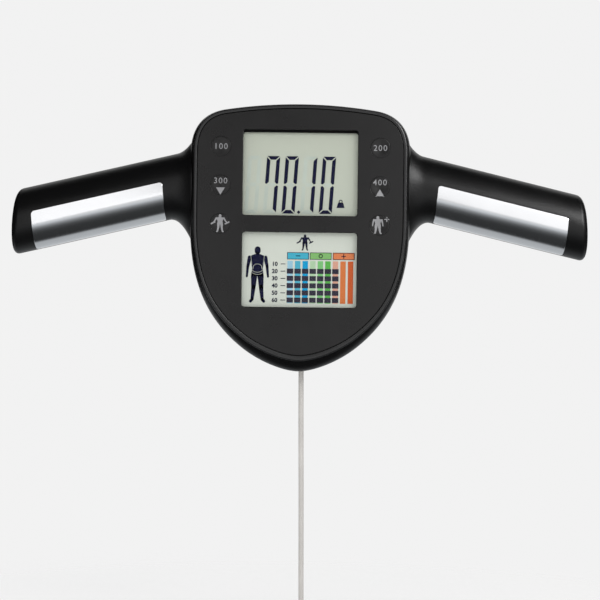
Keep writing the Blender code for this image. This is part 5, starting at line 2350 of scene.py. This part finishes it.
@dataclass(frozen=True)
class LowerChart:
    """What the lower display shows: a person, and rows of cells over three groups of coloured columns.

    Millimetres. Lifts are how far ink stands before the display's face, and the lines that part the person
    are in shares of its height.
    """

    groups: tuple[ColumnGroup, ...] = (
        ColumnGroup(
            "cyan",
            Sign.MINUS,
            -6.95,
            5.45,
            (0.070, 0.46, 0.62),
            ((0.36, 0.62, 0.76), (0.09, 0.46, 0.62), (0.012, 0.36, 0.68)),
        ),
        ColumnGroup(
            "green",
            Sign.RING,
            6.0,
            18.3,
            (0.25, 0.54, 0.18),
            ((0.48, 0.69, 0.45), (0.23, 0.60, 0.22), (0.12, 0.48, 0.09)),
        ),
        ColumnGroup(
            "orange",
            Sign.PLUS,
            19.05,
            31.45,
            (0.76, 0.24, 0.095),
            ((0.74, 0.40, 0.30), (0.72, 0.21, 0.065), (0.66, 0.125, 0.035)),
        ),
    )
    header_top: float = -27.4
    header_height: float = 4.05
    header_line: float = 0.32
    sign_reach: float = 1.15
    sign_width: float = 0.48
    sign_ring_share: float = 0.85
    sign_ring_steps: int = 20
    column_left: float = -6.75
    column_pitch: float = 4.3
    column_width: float = 3.1
    column_top: float = -32.3
    column_bottom: float = -56.4
    cell_top: float = -36.7
    cell_pitch: float = 4.11
    cell_height: float = 2.85
    cell_width: float = 3.7
    cell_rows: int = 5
    cell_columns: int = 7
    label_x: float = -13.9
    label_height: float = 2.5
    label_first: float = -34.1
    label_weight: float = 0.03
    label_line: tuple[float, float] = (-10.4, -8.0)
    label_line_width: float = 0.4
    person_x: float = -23.75
    person_feet: float = -56.3
    person_height: float = 32.0
    badge_x: float = 3.1
    badge_feet: float = -26.3
    badge_height: float = 8.8
    column_lift: float = 0.06
    header_lift: float = 0.08
    cell_lift: float = 0.10
    line_lift: float = 0.14
    joint_lift: float = 0.18
    joint_width: float = 0.22
    joint_lines: tuple = (
        ((0.118, 0.83), (0.112, 0.76), (0.100, 0.67)),
        ((0.078, 0.60), (0.074, 0.65), (0.045, 0.68), (0.0, 0.69)),
        ((0.094, 0.575), (0.05, 0.548), (0.0, 0.54)),
        ((0.090, 0.53), (0.045, 0.508), (0.0, 0.50)),
    )

    def build(self, face: float) -> None:
        """Draws the chart.

        Args:
            face: The Y of the display's front.
        """
        lines, cells = Drawing(face - MM * self.line_lift), Drawing(face - MM * self.cell_lift)
        for place, group in enumerate(self.groups):
            name = group.name
            low = Vector((group.left, self.header_top - self.header_height))
            high = Vector((group.right, self.header_top))
            band = Drawing(face - MM * self.header_lift)
            band.rectangle(MM * low, MM * high)
            band.build(f"chart_{name}_header", self.ink(f"{name}_header_ink", group.colour))
            lines.frame(MM * low, MM * high, MM * self.header_line)
            self.draw_sign(lines, group.sign, MM * (low + high) / 2)
            for number, tint in enumerate(group.tints):
                column = Drawing(face - MM * self.column_lift)
                x = self.column_left + (len(group.tints) * place + number) * self.column_pitch
                corners = Vector((x, self.column_bottom)), Vector((x + self.column_width, self.column_top))
                column.rectangle(*(MM * corner for corner in corners))
                column.build(f"chart_{name}_column_{number + 1}", self.ink(f"{name}_ink_{number + 1}", tint))
        self.draw_cells(cells)
        cells.build("chart_cells", CELL_INK)
        self.draw_labels(lines)
        self.draw_people(lines)
        lines.build("chart_lines", INK)
        self.draw_joints(face)

    def ink(self, name: str, colour: Colour) -> Finish:
        """A printed ink."""
        return Finish(name, "display_glass", colour, 0.5, specular=0.05, bump=0.02, colour_drift=0.05)

    def draw_sign(self, drawing: Drawing, sign: Sign, middle: Vector) -> None:
        """Draws a header's sign.

        Args:
            drawing: What it is drawn on.
            sign: Which sign.
            middle: The header's middle.
        """
        width, reach = MM * self.sign_width, MM * self.sign_reach
        if sign is Sign.RING:
            drawing.ring(middle, reach * self.sign_ring_share, width, self.sign_ring_steps)
            return
        across, up = Vector((reach, 0.0)), Vector((0.0, reach))
        drawing.line(middle - across, middle + across, width)
        if sign is Sign.PLUS:
            drawing.line(middle - up, middle + up, width)

    def draw_cells(self, drawing: Drawing) -> None:
        """Draws the dark cells over the columns.

        Args:
            drawing: What they are drawn on.
        """
        spare = (self.cell_width - self.column_width) / 2
        for row in range(self.cell_rows):
            top = self.cell_top - row * self.cell_pitch
            for column in range(self.cell_columns):
                left = self.column_left + column * self.column_pitch - spare
                low = Vector((left, top - self.cell_height))
                drawing.rectangle(MM * low, MM * Vector((left + self.cell_width, top)))

    def draw_labels(self, drawing: Drawing) -> None:
        """Draws each row's number and the line from it to the cells.

        Args:
            drawing: What they are drawn on.
        """
        for row in range(self.cell_rows + 1):
            z = self.label_first - row * self.cell_pitch
            place = MM * Vector((self.label_x, z))
            drawing.figures(f"{row + 1}0", place, MM * self.label_height, weight=self.label_weight)
            start, end = (Vector((x, z)) for x in self.label_line)
            drawing.line(MM * start, MM * end, MM * self.label_line_width)

    def draw_people(self, drawing: Drawing) -> None:
        """Draws the large person on the left and the small one over the headers.

        Args:
            drawing: What they are drawn on.
        """
        Person().draw(drawing, MM * Vector((self.person_x, self.person_feet)), MM * self.person_height)
        feet = MM * Vector((self.badge_x, self.badge_feet))
        tall = MM * self.badge_height
        ARMS_OUT.draw(drawing, feet, tall)
        ARMS_OUT.draw_held(drawing, feet, tall)

    def draw_joints(self, face: float) -> None:
        """Draws the pale lines that part the large person's trunk from its limbs.

        Args:
            face: The Y of the display's front.
        """
        drawing = Drawing(face - MM * self.joint_lift)
        feet = MM * Vector((self.person_x, self.person_feet))
        tall = MM * self.person_height
        width = MM * self.joint_width
        for line in self.joint_lines:
            for side in (-1, 1):
                places = [feet + tall * Vector((side * x, z)) for x, z in line]
                for start, end in zip(places, places[1:]):
                    drawing.line(start, end, width)
        drawing.build("chart_person_lines", PALE_INK)


@dataclass(frozen=True)
class Displays:
    """The two liquid crystal cells, whose faces stand up in the windows, and what they show.

    Each cell's colours are those of its foot and its top. The upper cell's top colour is darker: painted shade
    under its window's top edge.
    """

    windows: Windows
    upper: UpperReading = UpperReading()
    lower: LowerChart = LowerChart()
    edge: float = 0.0002
    corner: float = 0.0006
    rise: float = 0.00075
    face_reach: float = 0.0007
    # The upper cell's second colour is darker: painted shade towards its top, under its window's top edge.
    colours: tuple[tuple[Colour, Colour], ...] = (
        ((0.570, 0.615, 0.520), (0.550, 0.590, 0.495)),
        ((0.700, 0.745, 0.665), (0.700, 0.745, 0.665)),
    )

    def build(self) -> None:
        """Makes the cells and draws on them."""
        edge, reach = self.edge, self.face_reach
        shown = (self.upper, self.lower)
        for window, (colour, top_colour), content in zip(self.windows.places(), self.colours, shown):
            name = window.name
            low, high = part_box(f"{name}_lcd")
            face = low.y - self.rise
            middle, size = (low + high) / 2, high - low
            middle = Vector((middle.x, middle.z))
            full = ((high.y - edge, 0.0), (low.y + edge, 0.0), (low.y, edge))
            rings = [
                rounded_rectangle(size.x - 2 * inset, size.z - 2 * inset, self.corner - inset, y, middle)
                for y, inset in full
            ]
            step = ((low.y - edge, reach), (face + edge, reach), (face, reach - edge))
            rings += [window.outline(self.corner, grow, y) for y, grow in step]
            finish = DisplayGlass(
                f"{name}_display_glass",
                "display_glass",
                colour,
                roughness=0.30,
                bump=0.02,
                drift=90.0,
                colour_drift=0.35,
                top_colour=top_colour,
                bottom_z=low.z,
                top_z=high.z,
            )
            cell = add_piece(f"{name}_display_cell", loft(rings), finish, sharp=FLAT_SHARP_ANGLE)
            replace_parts(cell, f"{name}_lcd")
            content.build(face)


# What is inside


@dataclass(frozen=True)
class Inside:
    """The finishes of the pieces inside the housing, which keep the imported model's shapes."""

    finishes: tuple[tuple[str, Finish], ...] = (
        ("lcd_frame", FRAME_WHITE),
        ("cord_socket", FRAME_WHITE),
        ("contact_strip", CONTACT_RUBBER),
        ("main_board", BOARD_GREEN),
        ("controller_chip", CHIP_BLACK),
        ("switch_", CHIP_BLACK),
        ("front_lead", RED_WIRE),
        ("rear_lead", BLUE_WIRE),
        ("board_screw", SCREW_STEEL),
        ("clamp", SCREW_STEEL),
    )

    def dress(self) -> int:
        """Dresses every node that keeps its shape.

        Returns:
            How many nodes were dressed.
        """
        dressed = 0
        for name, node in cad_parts.items():
            for part, finish in self.finishes:
                if part in name:
                    node.data.materials.clear()
                    node.data.materials.append(finish.material())
                    dressed += 1
                    break
        return dressed


def main() -> None:
    """Builds the scene: the camera and the cord first, then the unit, then the light."""
    logging.basicConfig(level=logging.INFO, format="%(name)s: %(message)s")
    PhotoCamera().build()
    Cord().build()
    LOG.info("camera and cord are in place")
    head = HeadForm()
    grip = GripForm(head)
    electrodes = Electrodes(grip)
    windows, keys = Windows(), Keys()
    Housing(head, grip, electrodes).build(keys)
    LOG.info("housing is built")
    electrodes.build()
    LOG.info("electrodes are built")
    bezel = Bezel(head)
    bezel.build()
    FacePanel(head, bezel, windows, keys).build()
    windows.build()
    keys.build()
    LOG.info("face is built")
    Displays(windows).build()
    LOG.info("displays are drawn")
    LOG.info("%d inner nodes are dressed", Inside().dress())
    Studio().build()
    LOG.info("studio is lit")


if __name__ == "__main__":
    main()
    boxes = [[[float(value) for value in corner] for corner in bounds] for bounds in (CAD_BOX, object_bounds())]
